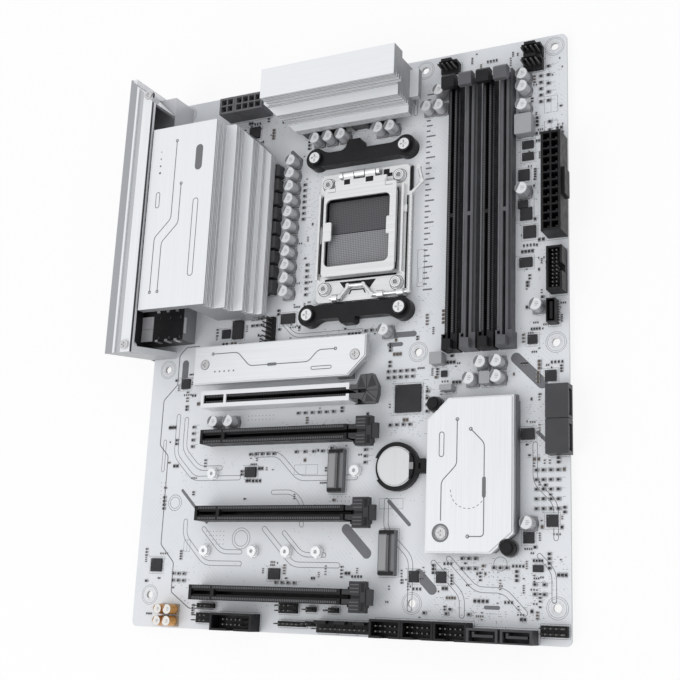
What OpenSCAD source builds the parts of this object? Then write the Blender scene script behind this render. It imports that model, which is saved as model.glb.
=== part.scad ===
// ATX desktop motherboard, lying flat with its component side up (+Z), in millimetres.
// The rear edge, with the ports, faces -X and the top edge faces +Y.
// The origin is on the underside of the board, at the centre of the four rear and middle standoff holes.

/* [Board] */
// Width of the board, rear edge to front edge
board_w = 244; // [242:0.5:270]
// Height of the board, bottom edge to top edge
board_h = 305; // [303:0.5:340]
// Thickness of the laminate
board_t = 1.6; // [1.2:0.1:2.4]
// Radius of the board's corners
board_corner_r = 3; // [1:0.5:5]
// Radius of a standoff hole
standoff_hole_r = 1.98; // [1.6:0.02:2.1]
// Rear column of standoff holes, from the rear edge
standoff_rear_x = 10.16; // [9:0.01:12]
// Middle column of standoff holes, from the rear edge
standoff_mid_x = 165.1; // [164:0.1:167]
// Front column of standoff holes, back from the front edge
standoff_front_inset = 6.51; // [6:0.01:8]
// Bottom row of standoff holes, from the bottom edge
standoff_bottom_y = 16.71; // [16:0.01:18]
// Middle row of standoff holes, from the bottom edge
standoff_mid_y = 141.17; // [140:0.01:143]
// Top row of standoff holes, down from the top edge
standoff_top_inset = 6.35; // [6:0.01:8]

/* [Processor socket] */
// Socket centre from the rear edge
socket_x = 129.8; // [129:0.1:131]
// Socket centre down from the top edge
socket_drop = 96; // [95.5:0.1:97]
// Side of the square recess that holds the processor
cpu_side = 40.4; // [39:0.1:41]
// Thickness of the pressed steel of the frame
frame_sheet_t = 1.4; // [1:0.1:1.8]
// Thickness of the load plate
load_plate_t = 1.2; // [0.8:0.1:1.6]
// Radius of the lever's wire
lever_wire_r = 1.0; // [0.8:0.05:1.1]
// Radius of the hinge pin
hinge_pin_r = 1.0; // [0.8:0.05:1.2]
// Radial running clearance of a pin in its hole
running_gap = 0.06; // [0.04:0.01:0.1]
// Distance between the cooler screws across the socket
cooler_pitch_x = 54; // [53:0.5:55]
// Distance between the cooler screws along the socket
cooler_pitch_y = 90; // [89:0.5:92]
// Height of the cooler brackets
bracket_h = 6; // [5:0.1:6.4]
// Thickness of the steel plate under the socket
backplate_t = 2; // [1.6:0.1:3]

/* [Memory slots] */
// Number of memory slots
dimm_count = 4; // [2:2:4]
// First memory slot, from the rear edge
dimm_x = 185.1; // [184.5:0.1:186]
// Pitch of the memory slots
dimm_pitch = 9.5; // [8.6:0.1:9.8]
// Width of a memory slot
dimm_w = 6.6; // [6:0.1:7]
// Height of a memory slot's body
dimm_h = 8; // [7:0.1:9]
// Length of a memory slot's body
dimm_len = 134; // [130:0.5:136]
// Height of a latch above the board
latch_h = 17; // [14:0.5:20]

/* [Expansion slots] */
// Start of every slot's body, from the rear edge
pcie_x = 42.8; // [42:0.1:44]
// Length of a slot's body
pcie_len = 88.8; // [86:0.1:89.2]
// Width of a slot's body
pcie_w = 7.6; // [7:0.1:8]
// Height of a slot's body
pcie_h = 11; // [10:0.1:12]
// Centre of the lowest slot, from the bottom edge
pcie_bottom_y = 18.7; // [18.4:0.1:19.4]
// Pitch of the slot positions
slot_pitch = 20.32; // [20:0.01:20.6]
// Thickness of the steel shield on the first slot
shield_t = 0.7; // [0.4:0.1:0.9]

/* [Drive sockets] */
// Length of a card socket across the card
m2_socket_len = 22; // [21:0.1:23]
// Height of a card socket
m2_socket_h = 4.2; // [3.8:0.1:4.5]
// Height of the small card standoffs
m2_standoff_h = 2.8; // [2:0.1:3.2]
// Underside of the card heatsink above the board
m2_plate_z = 4.8; // [4.7:0.1:6]
// Thickness of the card heatsink
m2_plate_t = 4.2; // [3:0.1:5]

/* [Power stage cooling] */
// Top of the left heatsink above the board
left_sink_h = 40; // [38:0.5:40]
// Length of the left heatsink
left_sink_len = 105.5; // [100:0.5:107]
// Width of the left heatsink's flat plate
left_plate_w = 41.3; // [40:0.1:41.5]
// Top of the upper heatsink above the board
top_sink_h = 38; // [36:0.5:42]
// Length of the upper heatsink's top face
top_sink_len = 80; // [76:0.5:80.5]
// Pitch of the cooling fins
fin_pitch = 2.4; // [2:0.1:3]
// Depth of the slots between the fins
fin_depth = 2.6; // [1.5:0.1:3]
// Gap between two fins
fin_gap = 1.1; // [0.8:0.1:1.3]

/* [Rear panel] */
// Top of the shroud above the board
shroud_h = 42; // [41:0.5:44]
// Width of the shroud's flat top
shroud_w = 17.5; // [16:0.1:17.8]
// Length of the shroud along the rear edge
shroud_len = 157.5; // [157.5:0.5:158.5]
// Wall of the shroud
shroud_wall = 1.5; // [1.2:0.1:1.8]
// Thickness of the pressed port plate
io_sheet_t = 0.8; // [0.5:0.1:1]
// Reach of the port plate below the board's top face
io_drop = 3.8; // [3:0.1:4.5]
// Travel of the rear button
button_travel = 0.8; // [0.4:0.1:1.2]

/* [Chipset cooler] */
// Front edge of the chipset cover, back from the board's front edge
chipset_inset = 24.9; // [24:0.1:26]
// Width of the chipset cover
chipset_w = 44.4; // [42:0.1:44.6]
// Length of the chipset cover
chipset_len = 74.7; // [70:0.1:75]
// Lower edge of the chipset cover, from the bottom edge
chipset_y = 40.2; // [39.5:0.1:41]
// Top of the chipset cover above the board
chipset_h = 9; // [8:0.5:11]

/* [Sockets and headers] */
// Pitch of the power socket's cells
power_pitch = 4.2; // [4.1:0.05:4.25]
// Height of the power sockets
power_h = 12.8; // [11:0.1:14]
// Pitch of the header pins
pin_pitch = 2.54; // [2.4:0.01:2.6]
// Half width of a header pin
pin_half = 0.32; // [0.25:0.01:0.4]
// Height of the box headers
box_h = 9; // [8:0.1:10]

/* [Small parts] */
// Radius of a capacitor can
can_r = 3.15; // [2.6:0.05:3.2]
// Height of a capacitor
can_h = 8; // [6:0.5:9]
// Radius of the coin cell
cell_r = 10; // [9.5:0.1:10.1]
// Length of the solder tails under the board
tail_len = 1.3; // [0.8:0.1:1.6]

/* [Hidden] */
$fn = 48;
eps = 0.01;
seat_gap = 0.3;

// ---- standoff grid and origin ----
standoff_front_x = board_w - standoff_front_inset;
standoff_top_y = board_h - standoff_top_inset;
origin_x = (standoff_rear_x + standoff_mid_x) / 2;
origin_y = (standoff_bottom_y + standoff_mid_y) / 2;
standoff_points = [
    for (x = [standoff_rear_x, standoff_mid_x, standoff_front_x])
        for (y = [standoff_bottom_y, standoff_mid_y, standoff_top_y]) [x, y]
];

// ---- processor socket, measured from its centre ----
socket_y = board_h - socket_drop;
frame_left = -24.6;
frame_right = 28.8;
frame_bottom = -37.8;
frame_top = 35.4;
frame_base_z = 1;
frame_top_z = frame_base_z + frame_sheet_t;
frame_screw_left = -19.4;
frame_screw_right = 23.1;
frame_screw_bottom = -30.4;
frame_screw_top = 29.2;
frame_screw_points = [
    for (x = [frame_screw_left, frame_screw_right])
        for (y = [frame_screw_bottom, frame_screw_top]) [x, y]
];
frame_screw_r = 1.5;
frame_head_r = 3.2;
housing_side = cpu_side + 4.4;
housing_floor_z = 2.2;
housing_h = 4.8;
contact_t = 0.8;
hinge_y = 32.6;
hinge_z = 5.4;
knuckle_r = hinge_pin_r + 1;
knuckle_spans = [[-8.6, -2.6], [4.4, 10.4]];
ear_spans = [[-11, -9.2], [-2, 3.8], [11, 12.8]];
load_plate_z = 5.7;
lever_axis_y = -36.2;
lever_axis_z = 4.2;
crank_reach = 6.2;
bearing_spans = [[-13.6, -10.4], [13, 16.6], [24.6, 28.2]];
lever_hole_r = lever_wire_r + running_gap;
lever_knuckle_r = lever_wire_r + 0.1;
cooler_hole_r = 1.9;
cooler_screw_r = 1.6;
cooler_head_r = 3.9;
bracket_end_r = 6;
bracket_sweep_r = 9;
cooler_points = [
    for (sx = [-1, 1]) for (sy = [-1, 1])
        [socket_x + sx * cooler_pitch_x / 2, socket_y + sy * cooler_pitch_y / 2]
];
backplate_ring = 5.5;
// Points of the lever's wire, closed: crank, axis, arm and thumb hook.
lever_points = [
    [-15.2, lever_axis_y], [-9.4, lever_axis_y], [-4.4, lever_axis_y + crank_reach],
    [4.8, lever_axis_y + crank_reach], [9.8, lever_axis_y], [30.8, lever_axis_y],
    [30.8, 17.5], [37, 23.6], [35, 31.6]
];

// ---- memory slots ----
dimm_top_y = board_h - 24.2;
dimm_bottom_y = dimm_top_y - dimm_len;
dimm_tower_len = 7.6;
dimm_groove_w = 1.6;
dimm_step_w = 4.4;
dimm_step_z = 6;
dimm_fork_len = 6.8;
dimm_fork_h = 6;
latch_arm_w = dimm_w - 2.8;
latch_pin_r = 0.9;
latch_axis_y = dimm_top_y + 2.6;
latch_axis_z = 3.2;
latch_foot_r = 2;
latch_pad_w = 7;
latch_pad_len = 8;
latch_pad_h = 6;

// ---- expansion slots ----
pcie_y = [for (n = [5, 4, 2, 0]) pcie_bottom_y + n * slot_pitch];
pcie_groove_w = 1.8;
pcie_key_x = 13.6;
pcie_key_w = 1.9;
pcie_wall = 1.5;
pcie_end_x = pcie_x + pcie_len;
clip_axis_x = pcie_end_x + 7.6;
clip_axis_z = 4;
clip_pin_r = 1;
clip_hub_w = 6.8;
clip_cheek_t = 1.2;
clip_cheek_gap = 0.3;
clip_pad_z = 7.6;
clip_pad_top = pcie_h + 0.4;
clip_wing_w = 15;

// ---- drive sockets, each by its centre line and its mouth ----
m2_plate_mid_y = 140.2;
m2_socket_w = 8.6;
m2_sockets_at = [[121, m2_plate_mid_y], [117.9, 81.2], [148.1, 40.4]];
m2_post_points = [[41.2, m2_plate_mid_y], [133.4, m2_plate_mid_y]];
m2_standoff_points = [
    [46.1, 81.2], [132.3, 81.2], [44.4, 40.4], [74.3, 40.4], [94.4, 40.4], [112.3, 40.4]
];
m2_standoff_r = 2.7;
m2_thread_r = 1;
m2_plate_left = 33.9;
m2_plate_right = 139.5;
m2_plate_bottom = 129.4;
m2_plate_top = 150.8;
m2_cut = 9.8;
cover_head_r = 2.6;

// ---- power stage cooling ----
left_sink_x = 16.2;
left_sink_y = board_h - 139.5;
top_sink_x = 84;
top_sink_rear_y = board_h - 8.4;
sink_pad_t = 1;
power_stage_h = 1;
sink_base_z = power_stage_h + sink_pad_t;
sink_front_z = 7;
left_stair = [[58.6, 30], [65.3, 22], [71.3, 15], [73.9, 12]];
left_front_x = 77.4;
left_cut = 13;
top_stair = [[17.2, 26], [22.8, 12]];
top_front_y = 27;
top_cut = 11.5;
sink_screw_r = 1.4;
sink_screw_hole_r = 1.6;
sink_boss_r = 3;
left_screw_points = [[53, left_sink_y + 9], [53, left_sink_y + left_sink_len - 12]];
top_screw_points = [for (x = [10, top_sink_len - 10]) [top_sink_x + x, top_sink_rear_y - 7]];
sink_screw_points = concat(left_screw_points, top_screw_points);

// ---- rear panel ----
rear_out = 2.5;
shroud_y = board_h - shroud_len;
// The top overhangs its foot at the lower end and is cut off slantwise at the upper end.
shroud_lean = 5.2;
shroud_cut = 17;
shroud_low_y = shroud_y - shroud_lean;
shroud_screw_points = [[shroud_w - 5.6, board_h - shroud_cut + 4.3], [shroud_w - 6.4, shroud_y - 1.2]];
groove_step = 0.9;
port_gap = 0.25;
port_front_x = -rear_out - 0.4;
// Each port group: middle, measured down from the top edge, width along the edge and top above the board.
display_drop = shroud_len * 0.0857;
display_w = 20;
display_top = 18;
button_drop = shroud_len * 0.1905;
usb_drops = shroud_len * [0.2794, 0.3873, 0.5079];
usb_w = 14.5;
usb_top = 15.6;
usb_depth = 18;
lan_w = 16.4;
lan_h = 13.6;
lan_depth = 21.5;
antenna_drops = shroud_len * [0.6095, 0.6921];
antenna_z = 9.5;
antenna_r = 3.1;
audio_first_drop = shroud_len * 0.7714;
audio_pitch = 11.4;
audio_top = 12;
audio_reach = 26.8;
sheet_in = -rear_out + io_sheet_t;
function from_top(drop) = board_h - drop;
button_z = 7;
button_r = 1.7;
button_flange_r = 2.6;
button_seat_x = 3.5;

// ---- chipset cooler ----
chipset_x = board_w - chipset_inset - chipset_w;
chipset_screw_point = [chipset_x + 8.2, chipset_y + 9.4];
chipset_pin_points = [[chipset_x + 2.6, chipset_y + 72.3], [chipset_x + chipset_w - 3.2, chipset_y + 2.8]];
chipset_pin_r = 1.5;
chipset_cut = 11;
chipset_base_z = 2.6;
chipset_cover_z = 5.2;

// ---- sockets and headers ----
atx_x = board_w - 10.1;
atx_y = board_h - 111;
atx_rows = 12;
power_cell = 3.4;
power_wall = 0.8;
eps_y = board_h - 16.9;
eps_8_x = 50.8;
eps_4_x = 40.6;
usb3_x = board_w - 8.7;
usb3_y = board_h - 139.9;
usb3_w = 8;
usb3_len = 22.2;
usb_c_x = board_w - 9.4;
usb_c_y = board_h - 155.2;
usb_c_w = 4.6;
usb_c_len = 11.8;
sata_side_x = board_w - 9.8;
sata_side_drops = [202, 218.7];
sata_side_w = 11.2;
sata_side_len = 16.4;
sata_side_h = 7.6;
sata_low_x = [board_w - 47.1, board_w - 30.7];
sata_low_w = 15.2;
sata_low_d = 6.6;
sata_low_h = 9.6;
// Fan headers by their lower left corner; each has four pins and a polarising wall on the +Y side.
fan_w = 10.2;
fan_d = 5.9;
fan_points = [
    [175.6, board_h - 12.2], [board_w - 22.3, board_h - 11.6], [board_w - 22.3, board_h - 18.6],
    [115.2, 1.2], [125.8, 1.2], [136.4, 1.2]
];
// Box headers along the bottom edge by x, y, width; two rows of five pins each.
box_d = 8.8;
box_header_points = [[55.8, 0], [146.8, 0], [163.5, 0], [180.2, 0]];
box_header_w = [24.8, 16.5, 16.5, 16.5];
// Bare pin headers: corner, pins across, pins up.
pin_header_list = [
    [42.7, 3.4, 4, 2], [42.7, 10.8, 4, 1], [92.5, 3.4, 6, 1], [108.2, 3.8, 2, 1], [92.5, 9.8, 4, 2],
    [108.2, 10.8, 2, 1], [120.9, 10.8, 2, 1], [board_w - 13.8, 3.9, 5, 2], [74.8, board_h - 154, 2, 6]
];

// ---- battery ----
cell_x = 155.9;
cell_y = 82.6;
cell_z = 1;
cell_t = 3.2;

// ---- small parts ----
can_column_x = 87.1;
can_column_top = board_h - 49.8;
can_column_pitch = 7.65;
can_points = concat(
    [for (i = [0:10]) [can_column_x, can_column_top - i * can_column_pitch]],
    [for (x = [101.8, 109.9, 118, 140.7, 147.9]) [x, board_h - 38.9]],
    [[168.9, board_h - 31.3], [175.9, board_h - 31.7], [175.9, board_h - 22.9]],
    [for (d = [22.3, 29.3, 39.6, 85.2]) [board_w - 21.9, board_h - d]],
    [[board_w - 14.6, board_h - 145.9], [148.2, board_h - 152.4]],
    [[195.3, 124.5], [209.3, 124.7], [201, 132.4], [209.3, 132.4], [board_w - 19.1, 54.6]],
    [[47.7, 108.8], [57.4, 108.8]]
);
choke_h = 6.2;
choke_side = 6.8;
choke_column_count = 9;
choke_pitch = 8.5;
// Chips: lower left corner, width, depth and height.
chip_list = [
    [153.4, 110.1, 14, 14.2, 1.4],
    [54.6, board_h - 29.4, 7, 7, 1],
    [52.4, board_h - 149.2, 6.6, 10.4, 1.4],
    [45.4, board_h - 148.4, 5.2, 5, 1],
    [83, board_h - 142.9, 8.6, 5.6, 1],
    [20.6, 129.3, 5.6, 5.6, 1],
    [66.6, 79, 6.4, 5.4, 1.6],
    [84.2, 26.4, 6.8, 5.6, 1],
    [9.8, 29, 7, 7, 1],
    [board_w - 23.6, board_h - 61.4, 6, 4.2, 1],
    [board_w - 23.6, board_h - 67.8, 6, 4.2, 1],
    [board_w - 25.6, board_h - 78.6, 5.8, 6, 1],
    [board_w - 25.6, board_h - 93.4, 5, 4, 1.6],
    [board_w - 24.6, board_h - 99.9, 6.2, 6.6, 1],
    [board_w - 22.9, board_h - 109.6, 6.4, 6.4, 1.2],
    [board_w - 24.9, board_h - 124.6, 6.6, 5, 1],
    [board_w - 20.6, board_h - 164, 4.8, 4.6, 1],
    [board_w - 11.9, 122, 5.6, 5.4, 1],
    [board_w - 23.6, 94.2, 6.4, 5.4, 1.6],
    [178.2, 127.2, 3.2, 3.2, 1],
    [board_w - 11.4, 53.2, 5.4, 5.6, 1],
    [board_w - 22.6, 45.6, 5.2, 5.2, 1],
    [board_w - 18, 32.6, 5, 3.2, 1],
    [163.5, 26.6, 5, 5.4, 1],
    [177.8, 26.6, 5, 5.4, 1]
];
// Rows of small passive parts: corner, count across, count up, pitch across, pitch up.
passive_rows = [
    [board_w - 14.6, board_h - 37, 1, 5, 3, 3.6], [board_w - 10.6, board_h - 37, 1, 5, 3, 4.8],
    [board_w - 10, board_h - 58, 1, 3, 3, 4.6], [board_w - 17.2, 61, 2, 5, 3.4, 4.5],
    [board_w - 10.2, 61, 2, 5, 3.6, 4.5], [board_w - 18, 22, 2, 2, 4.6, 4.4],
    [190, 33, 3, 2, 3.4, 4.6], [206, 33.6, 3, 1, 3.2, 3], [171, 12, 3, 1, 11.4, 3],
    [150, 103.4, 4, 1, 3.6, 3], [170, 109.6, 1, 4, 3, 3.4], [148, 128, 5, 2, 3.4, 3.2],
    [68, 90.6, 5, 1, 3.6, 3], [136.5, 84.8, 1, 3, 3, 3.2], [88, 24.4, 4, 1, 3.6, 3],
    [96, 111.8, 6, 1, 4.2, 3], [96, 91.2, 4, 1, 5.2, 3], [92.6, board_h - 84, 1, 7, 3, 3.4],
    [96.6, board_h - 128, 1, 6, 3, 3.4], [64, board_h - 143, 3, 2, 3, 3.6],
    [108, 151.8, 4, 1, 3.6, 3], [134, 154, 3, 1, 3.4, 3], [30, 96, 1, 4, 3, 3.6], [24, 24, 3, 2, 3.4, 3.6]
];

// =====================================================================
// Shared shapes
// =====================================================================

// Board coordinates: x from the rear edge, y from the bottom edge, z from the top face.
module on_board() {
    translate([-origin_x, -origin_y, board_t]) children();
}

module at_socket() {
    on_board() translate([socket_x, socket_y, 0]) children();
}

// A box given by two opposite corners.
module box(low, high) {
    translate(low) cube(high - low);
}

module rounded_rect(w, h, r) {
    translate([r, 0]) square([w - 2 * r, h]);
    translate([0, r]) square([w, h - 2 * r]);
    for (x = [r, w - r]) for (y = [r, h - r]) translate([x, y]) circle(r);
}

module centred_rounded_rect(w, h, r) {
    translate([-w / 2, -h / 2]) rounded_rect(w, h, r);
}

// A vertical round bar or, as a cutter, a vertical hole.
module post(point, r, z0, z1) {
    translate([point[0], point[1], z0]) cylinder(r = r, h = z1 - z0);
}

module drill(point, r, z0, z1) {
    post(point, r, z0 - eps, z1 + eps);
}

// A round bar along X.
module bar_x(x0, x1, y, z, r) {
    translate([x0, y, z]) rotate([0, 90, 0]) cylinder(r = r, h = x1 - x0);
}

// A round bar along Y.
module bar_y(y0, y1, x, z, r) {
    translate([x, y0, z]) rotate([-90, 0, 0]) cylinder(r = r, h = y1 - y0);
}

// A straight piece of wire between two points.
module wire_piece(a, b, r) {
    d = b - a;
    len = norm(d);
    translate(a)
        rotate([0, acos(d[2] / len), atan2(d[1], d[0])]) rotate([0, 0, 37])
            cylinder(r = r, h = len);
}

module cross_head(point, r, z, h) {
    difference() {
        post(point, r, z, z + h);
        translate([point[0], point[1], z + h / 2]) {
            box([-r * 0.55, -r * 0.12, 0], [r * 0.55, r * 0.12, h]);
            box([-r * 0.12, -r * 0.55, 0], [r * 0.12, r * 0.55, h]);
        }
    }
}

// =====================================================================
// Board
// =====================================================================

module pcb() {
    color("gainsboro") on_board() difference() {
        translate([0, 0, -board_t]) linear_extrude(board_t) rounded_rect(board_w, board_h, board_corner_r);
        for (p = standoff_points) drill(p, standoff_hole_r, -board_t, 0);
        for (p = cooler_points) drill(p, cooler_hole_r, -board_t, 0);
        for (p = frame_screw_points)
            drill([socket_x + p[0], socket_y + p[1]], frame_screw_r + 0.1, -board_t, 0);
        for (p = sink_screw_points) drill(p, sink_screw_hole_r, -board_t, 0);
        for (p = chipset_pin_points) drill(p, chipset_pin_r + 0.1, -board_t, 0);
    }
}

// One row of solder tails under the board.
module tail_row(x, y, count, step) {
    for (i = [0:count - 1])
        translate([x + i * step[0], y + i * step[1], -board_t - tail_len])
            cylinder(r1 = 0.5, r2 = 0.9, h = tail_len, $fn = 16);
}

module solder_tails() {
    color("silver") on_board() {
        for (side = [-1, 1]) {
            for (y = pcie_y) tail_row(pcie_x + 3, y + side * 2, 8, [11.6, 0]);
            for (i = [0:dimm_count - 1])
                tail_row(dimm_x + i * dimm_pitch + side * 1.6, dimm_bottom_y + 5, 8, [0, 17.6]);
            tail_row(atx_x + power_pitch * (1 + side / 2), atx_y + 4.2, 6, [0, 2 * power_pitch]);
        }
        tail_row(4, shroud_y + 12, 14, [0, 10.8]);
        tail_row(60, 3.4, 16, [10.6, 0]);
    }
}

// =====================================================================
// Processor socket
// =====================================================================

module socket_housing() {
    color([0.1, 0.1, 0.11]) at_socket() difference() {
        linear_extrude(housing_h) centred_rounded_rect(housing_side, housing_side, 1.5);
        translate([0, 0, housing_floor_z])
            linear_extrude(housing_h) centred_rounded_rect(cpu_side, cpu_side, 0.6);
        // finger reliefs in the rim
        for (s = [-1, 1])
            box([s * (housing_side / 2 - 2.2) - 2.4, -5, housing_floor_z + 1],
                [s * (housing_side / 2 - 2.2) + 2.4, 5, housing_h + 1]);
    }
}

module socket_contacts() {
    field_w = cpu_side - 3.4;
    field_h = cpu_side / 2 - 1.9;
    color([0.45, 0.45, 0.46]) at_socket()
        for (s = [-1, 1])
            translate([0, s * (field_h / 2 + 0.25), housing_floor_z])
                linear_extrude(contact_t) centred_rounded_rect(field_w, field_h, 0.5);
}

// Ear or bearing that rises from the frame around a cross pin.
module pin_ear(span, y, z, r_out, foot_z) {
    bar_x(span[0], span[1], y, z, r_out);
    box([span[0], y - r_out * 0.9, foot_z], [span[1], y + r_out * 0.9, z]);
}

module socket_frame() {
    opening = housing_side + 2 * seat_gap;
    wall = 1.2;
    color([0.82, 0.82, 0.84]) at_socket() {
        difference() {
            union() {
                translate([frame_left, frame_bottom, frame_base_z])
                    linear_extrude(frame_sheet_t)
                        rounded_rect(frame_right - frame_left, frame_top - frame_bottom, 2.5);
                // folded side walls
                box([frame_left, -25, frame_base_z], [frame_left + wall, 24, frame_top_z + 2]);
                box([frame_right - wall - 2.2, -25, frame_base_z],
                    [frame_right - 2.2, 24, frame_top_z + 2.4]);
                for (p = frame_screw_points) post(p, 4, 0, frame_top_z);
                for (s = ear_spans) pin_ear(s, hinge_y, hinge_z, knuckle_r + 0.2, frame_base_z);
                for (s = bearing_spans)
                    pin_ear(s, lever_axis_y, lever_axis_z, lever_wire_r + 1, frame_base_z);
                // hook that holds the closed lever's arm
                box([frame_right - 3.4, 8, frame_base_z], [frame_right - 0.6, 12, frame_top_z + 1.2]);
            }
            translate([-opening / 2, -opening / 2, -1]) cube([opening, opening, 20]);
            for (p = frame_screw_points) drill(p, frame_screw_r + 0.1, 0, frame_top_z);
            for (s = bearing_spans)
                bar_x(s[0] - eps, s[1] + eps, lever_axis_y, lever_axis_z, lever_hole_r);
            // slots under the hinge knuckles
            for (s = knuckle_spans)
                box([s[0] - 0.4, hinge_y - 2.4, 0], [s[1] + 0.4, hinge_y + 1.8, frame_top_z + eps]);
        }
        bar_x(ear_spans[0][0] + eps, ear_spans[2][1] - eps, hinge_y, hinge_z, hinge_pin_r);
    }
}

module socket_screws() {
    color([0.7, 0.7, 0.72]) at_socket()
        for (p = frame_screw_points) {
            difference() {
                post(p, frame_head_r, frame_top_z, frame_top_z + 2.2);
                post(p, frame_head_r * 0.45, frame_top_z + 1, frame_top_z + 3);
            }
            post(p, frame_screw_r, -board_t + 0.1, frame_top_z);
        }
}

// Outline of the load plate, seen from above.
module load_plate_outline() {
    difference() {
        union() {
            translate([-20, -24.6]) rounded_rect(43.2, 49.9, 2);
            translate([-13.8, 20]) square([31, hinge_y - 3.4 - 20]);
            for (s = knuckle_spans) translate([s[0], 25]) square([s[1] - s[0], hinge_y - 25]);
        }
        difference() {
            translate([-18.6, -19.2]) rounded_rect(38.2, 38.3, 3.2);
            // the two fingers that press on the processor's lid
            translate([-19, -4.6]) rounded_rect(4.1, 10.6, 1);
            translate([17.9, -4.2]) rounded_rect(4, 9.8, 0.8);
        }
    }
}

module socket_load_plate() {
    color([0.88, 0.88, 0.9]) at_socket() difference() {
        union() {
            translate([0, 0, load_plate_z]) linear_extrude(load_plate_t) load_plate_outline();
            for (s = knuckle_spans) bar_x(s[0], s[1], hinge_y, hinge_z, knuckle_r);
            // turned-down side edges
            for (x = [-20, 22.2])
                box([x, -20, load_plate_z - 0.9], [x + 1, 20, load_plate_z + 0.5]);
        }
        bar_x(
            knuckle_spans[0][0] - 1, knuckle_spans[1][1] + 1, hinge_y, hinge_z, hinge_pin_r + running_gap
        );
    }
}

module socket_lever() {
    last = len(lever_points) - 1;
    color([0.75, 0.75, 0.77]) at_socket() {
        for (i = [0:last - 1])
            wire_piece(
                [lever_points[i][0], lever_points[i][1], lever_axis_z],
                [lever_points[i + 1][0], lever_points[i + 1][1], lever_axis_z],
                lever_wire_r
            );
        for (i = [1:last])
            translate([0, 0, lever_axis_z])
                post(lever_points[i], lever_knuckle_r, -lever_knuckle_r, lever_knuckle_r);
    }
}

module socket_backplate() {
    color([0.25, 0.25, 0.27]) on_board() difference() {
        translate([socket_x, socket_y, -board_t - backplate_t]) linear_extrude(backplate_t) difference() {
            centred_rounded_rect(
                cooler_pitch_x + 2 * backplate_ring, cooler_pitch_y + 2 * backplate_ring, 5
            );
            centred_rounded_rect(26, 34, 3);
            for (s = [-1, 1]) translate([0, s * cooler_pitch_y / 2]) centred_rounded_rect(30, 18, 3);
        }
        for (p = cooler_points) drill(p, cooler_screw_r + 0.05, -board_t - backplate_t, 0);
    }
}

// One bracket: two round ends, a bar whose upper edge sweeps into them, and a clip tab to +Y.
module cooler_bracket(tab_reach) {
    half = cooler_pitch_x / 2;
    bar_top = bracket_end_r - 3.4;
    reach = bracket_end_r + bracket_sweep_r;
    run = sqrt(pow(reach, 2) - pow(bar_top + bracket_sweep_r, 2));
    linear_extrude(bracket_h) difference() {
        union() {
            for (s = [-1, 1]) translate([s * half, 0]) circle(bracket_end_r);
            translate([-half, -bracket_end_r + 1]) square([cooler_pitch_x, bar_top + bracket_end_r - 1]);
            // clip tab with clipped corners
            polygon([
                [-8, 0], [1, 0], [1, tab_reach - 1.2], [-0.2, tab_reach],
                [-6.8, tab_reach], [-8, tab_reach - 1.2]
            ]);
            for (s = [0, 1]) mirror([s, 0])
                sweep_corner(half - run, run * bracket_sweep_r / reach, bar_top, bracket_sweep_r);
            translate([-8, 0]) mirror([1, 0]) corner_web(bar_top, min(5, tab_reach - 1.4 - bar_top));
        }
        for (s = [-1, 1]) translate([s * half, 0]) circle(cooler_screw_r + 0.2);
    }
}

// Flat web between the bar's upper edge and a round end, hollowed by a large arc.
module sweep_corner(x, w, top, r) {
    h = (top + r) * bracket_end_r / (bracket_end_r + r);
    difference() {
        translate([x, 0]) square([w, h]);
        translate([x, top + r - 0.04]) circle(r);
    }
}

// Flat web in the corner at x 0 above a bar, on the +X side, hollowed by an arc.
module corner_web(top, r) {
    difference() {
        translate([-0.5, 0]) square([r + 0.5, top + r]);
        translate([r, top + r - 0.04]) circle(r);
    }
}

module cooler_brackets() {
    color([0.12, 0.12, 0.13]) at_socket() {
        translate([0, cooler_pitch_y / 2, 0]) cooler_bracket(8.4);
        mirror([0, 1, 0]) translate([0, cooler_pitch_y / 2, 0]) cooler_bracket(5.8);
    }
}

module bracket_screws() {
    color([0.8, 0.8, 0.82]) on_board()
        for (p = cooler_points) {
            cross_head(p, cooler_head_r, bracket_h, 2);
            post(p, cooler_screw_r, -board_t - backplate_t + 0.2, bracket_h);
        }
}

// =====================================================================
// Memory slots
// =====================================================================

module dimm_slot() {
    half = dimm_w / 2;
    key_y = dimm_bottom_y + dimm_len * 0.47;
    difference() {
        union() {
            box([-half, dimm_bottom_y, 0], [half, dimm_top_y, dimm_step_z]);
            box([-dimm_step_w / 2, dimm_bottom_y, dimm_step_z - 1], [dimm_step_w / 2, dimm_top_y, dimm_h]);
            // fixed end tower
            box([-half - 0.9, dimm_bottom_y - dimm_tower_len, 0],
                [half + 0.9, dimm_bottom_y + 0.5, dimm_h]);
            box([-2.2, dimm_bottom_y - dimm_tower_len, 0], [2.2, dimm_bottom_y - 3, dimm_h + 4]);
            // fork that holds the latch
            box([-half, dimm_top_y - 1, 0], [half, dimm_top_y + dimm_fork_len, dimm_fork_h]);
        }
        // card groove, left and right of the key
        box([-dimm_groove_w / 2, dimm_bottom_y - 3, 1.6], [dimm_groove_w / 2, key_y - 1, dimm_h + 8]);
        box([-dimm_groove_w / 2, key_y + 1, 1.6], [dimm_groove_w / 2, dimm_top_y + 1, dimm_h + 8]);
        // space for the latch between the cheeks
        box([-latch_arm_w / 2 - 0.15, dimm_top_y + 0.25, 1],
            [latch_arm_w / 2 + 0.15, dimm_top_y + dimm_fork_len + 1, dimm_fork_h + 1]);
        bar_x(-half - 1, half + 1, latch_axis_y, latch_axis_z, latch_pin_r + running_gap);
        // lightening hole beside the fixed end
        box([-half - 0.1, dimm_bottom_y - 1.6, dimm_h - 3], [-half + 1.5, dimm_bottom_y + 0.2, dimm_h + 1]);
    }
}

module dimm_slots(first) {
    on_board() for (i = [first:2:dimm_count - 1]) translate([dimm_x + i * dimm_pitch, 0, 0]) dimm_slot();
}

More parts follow.
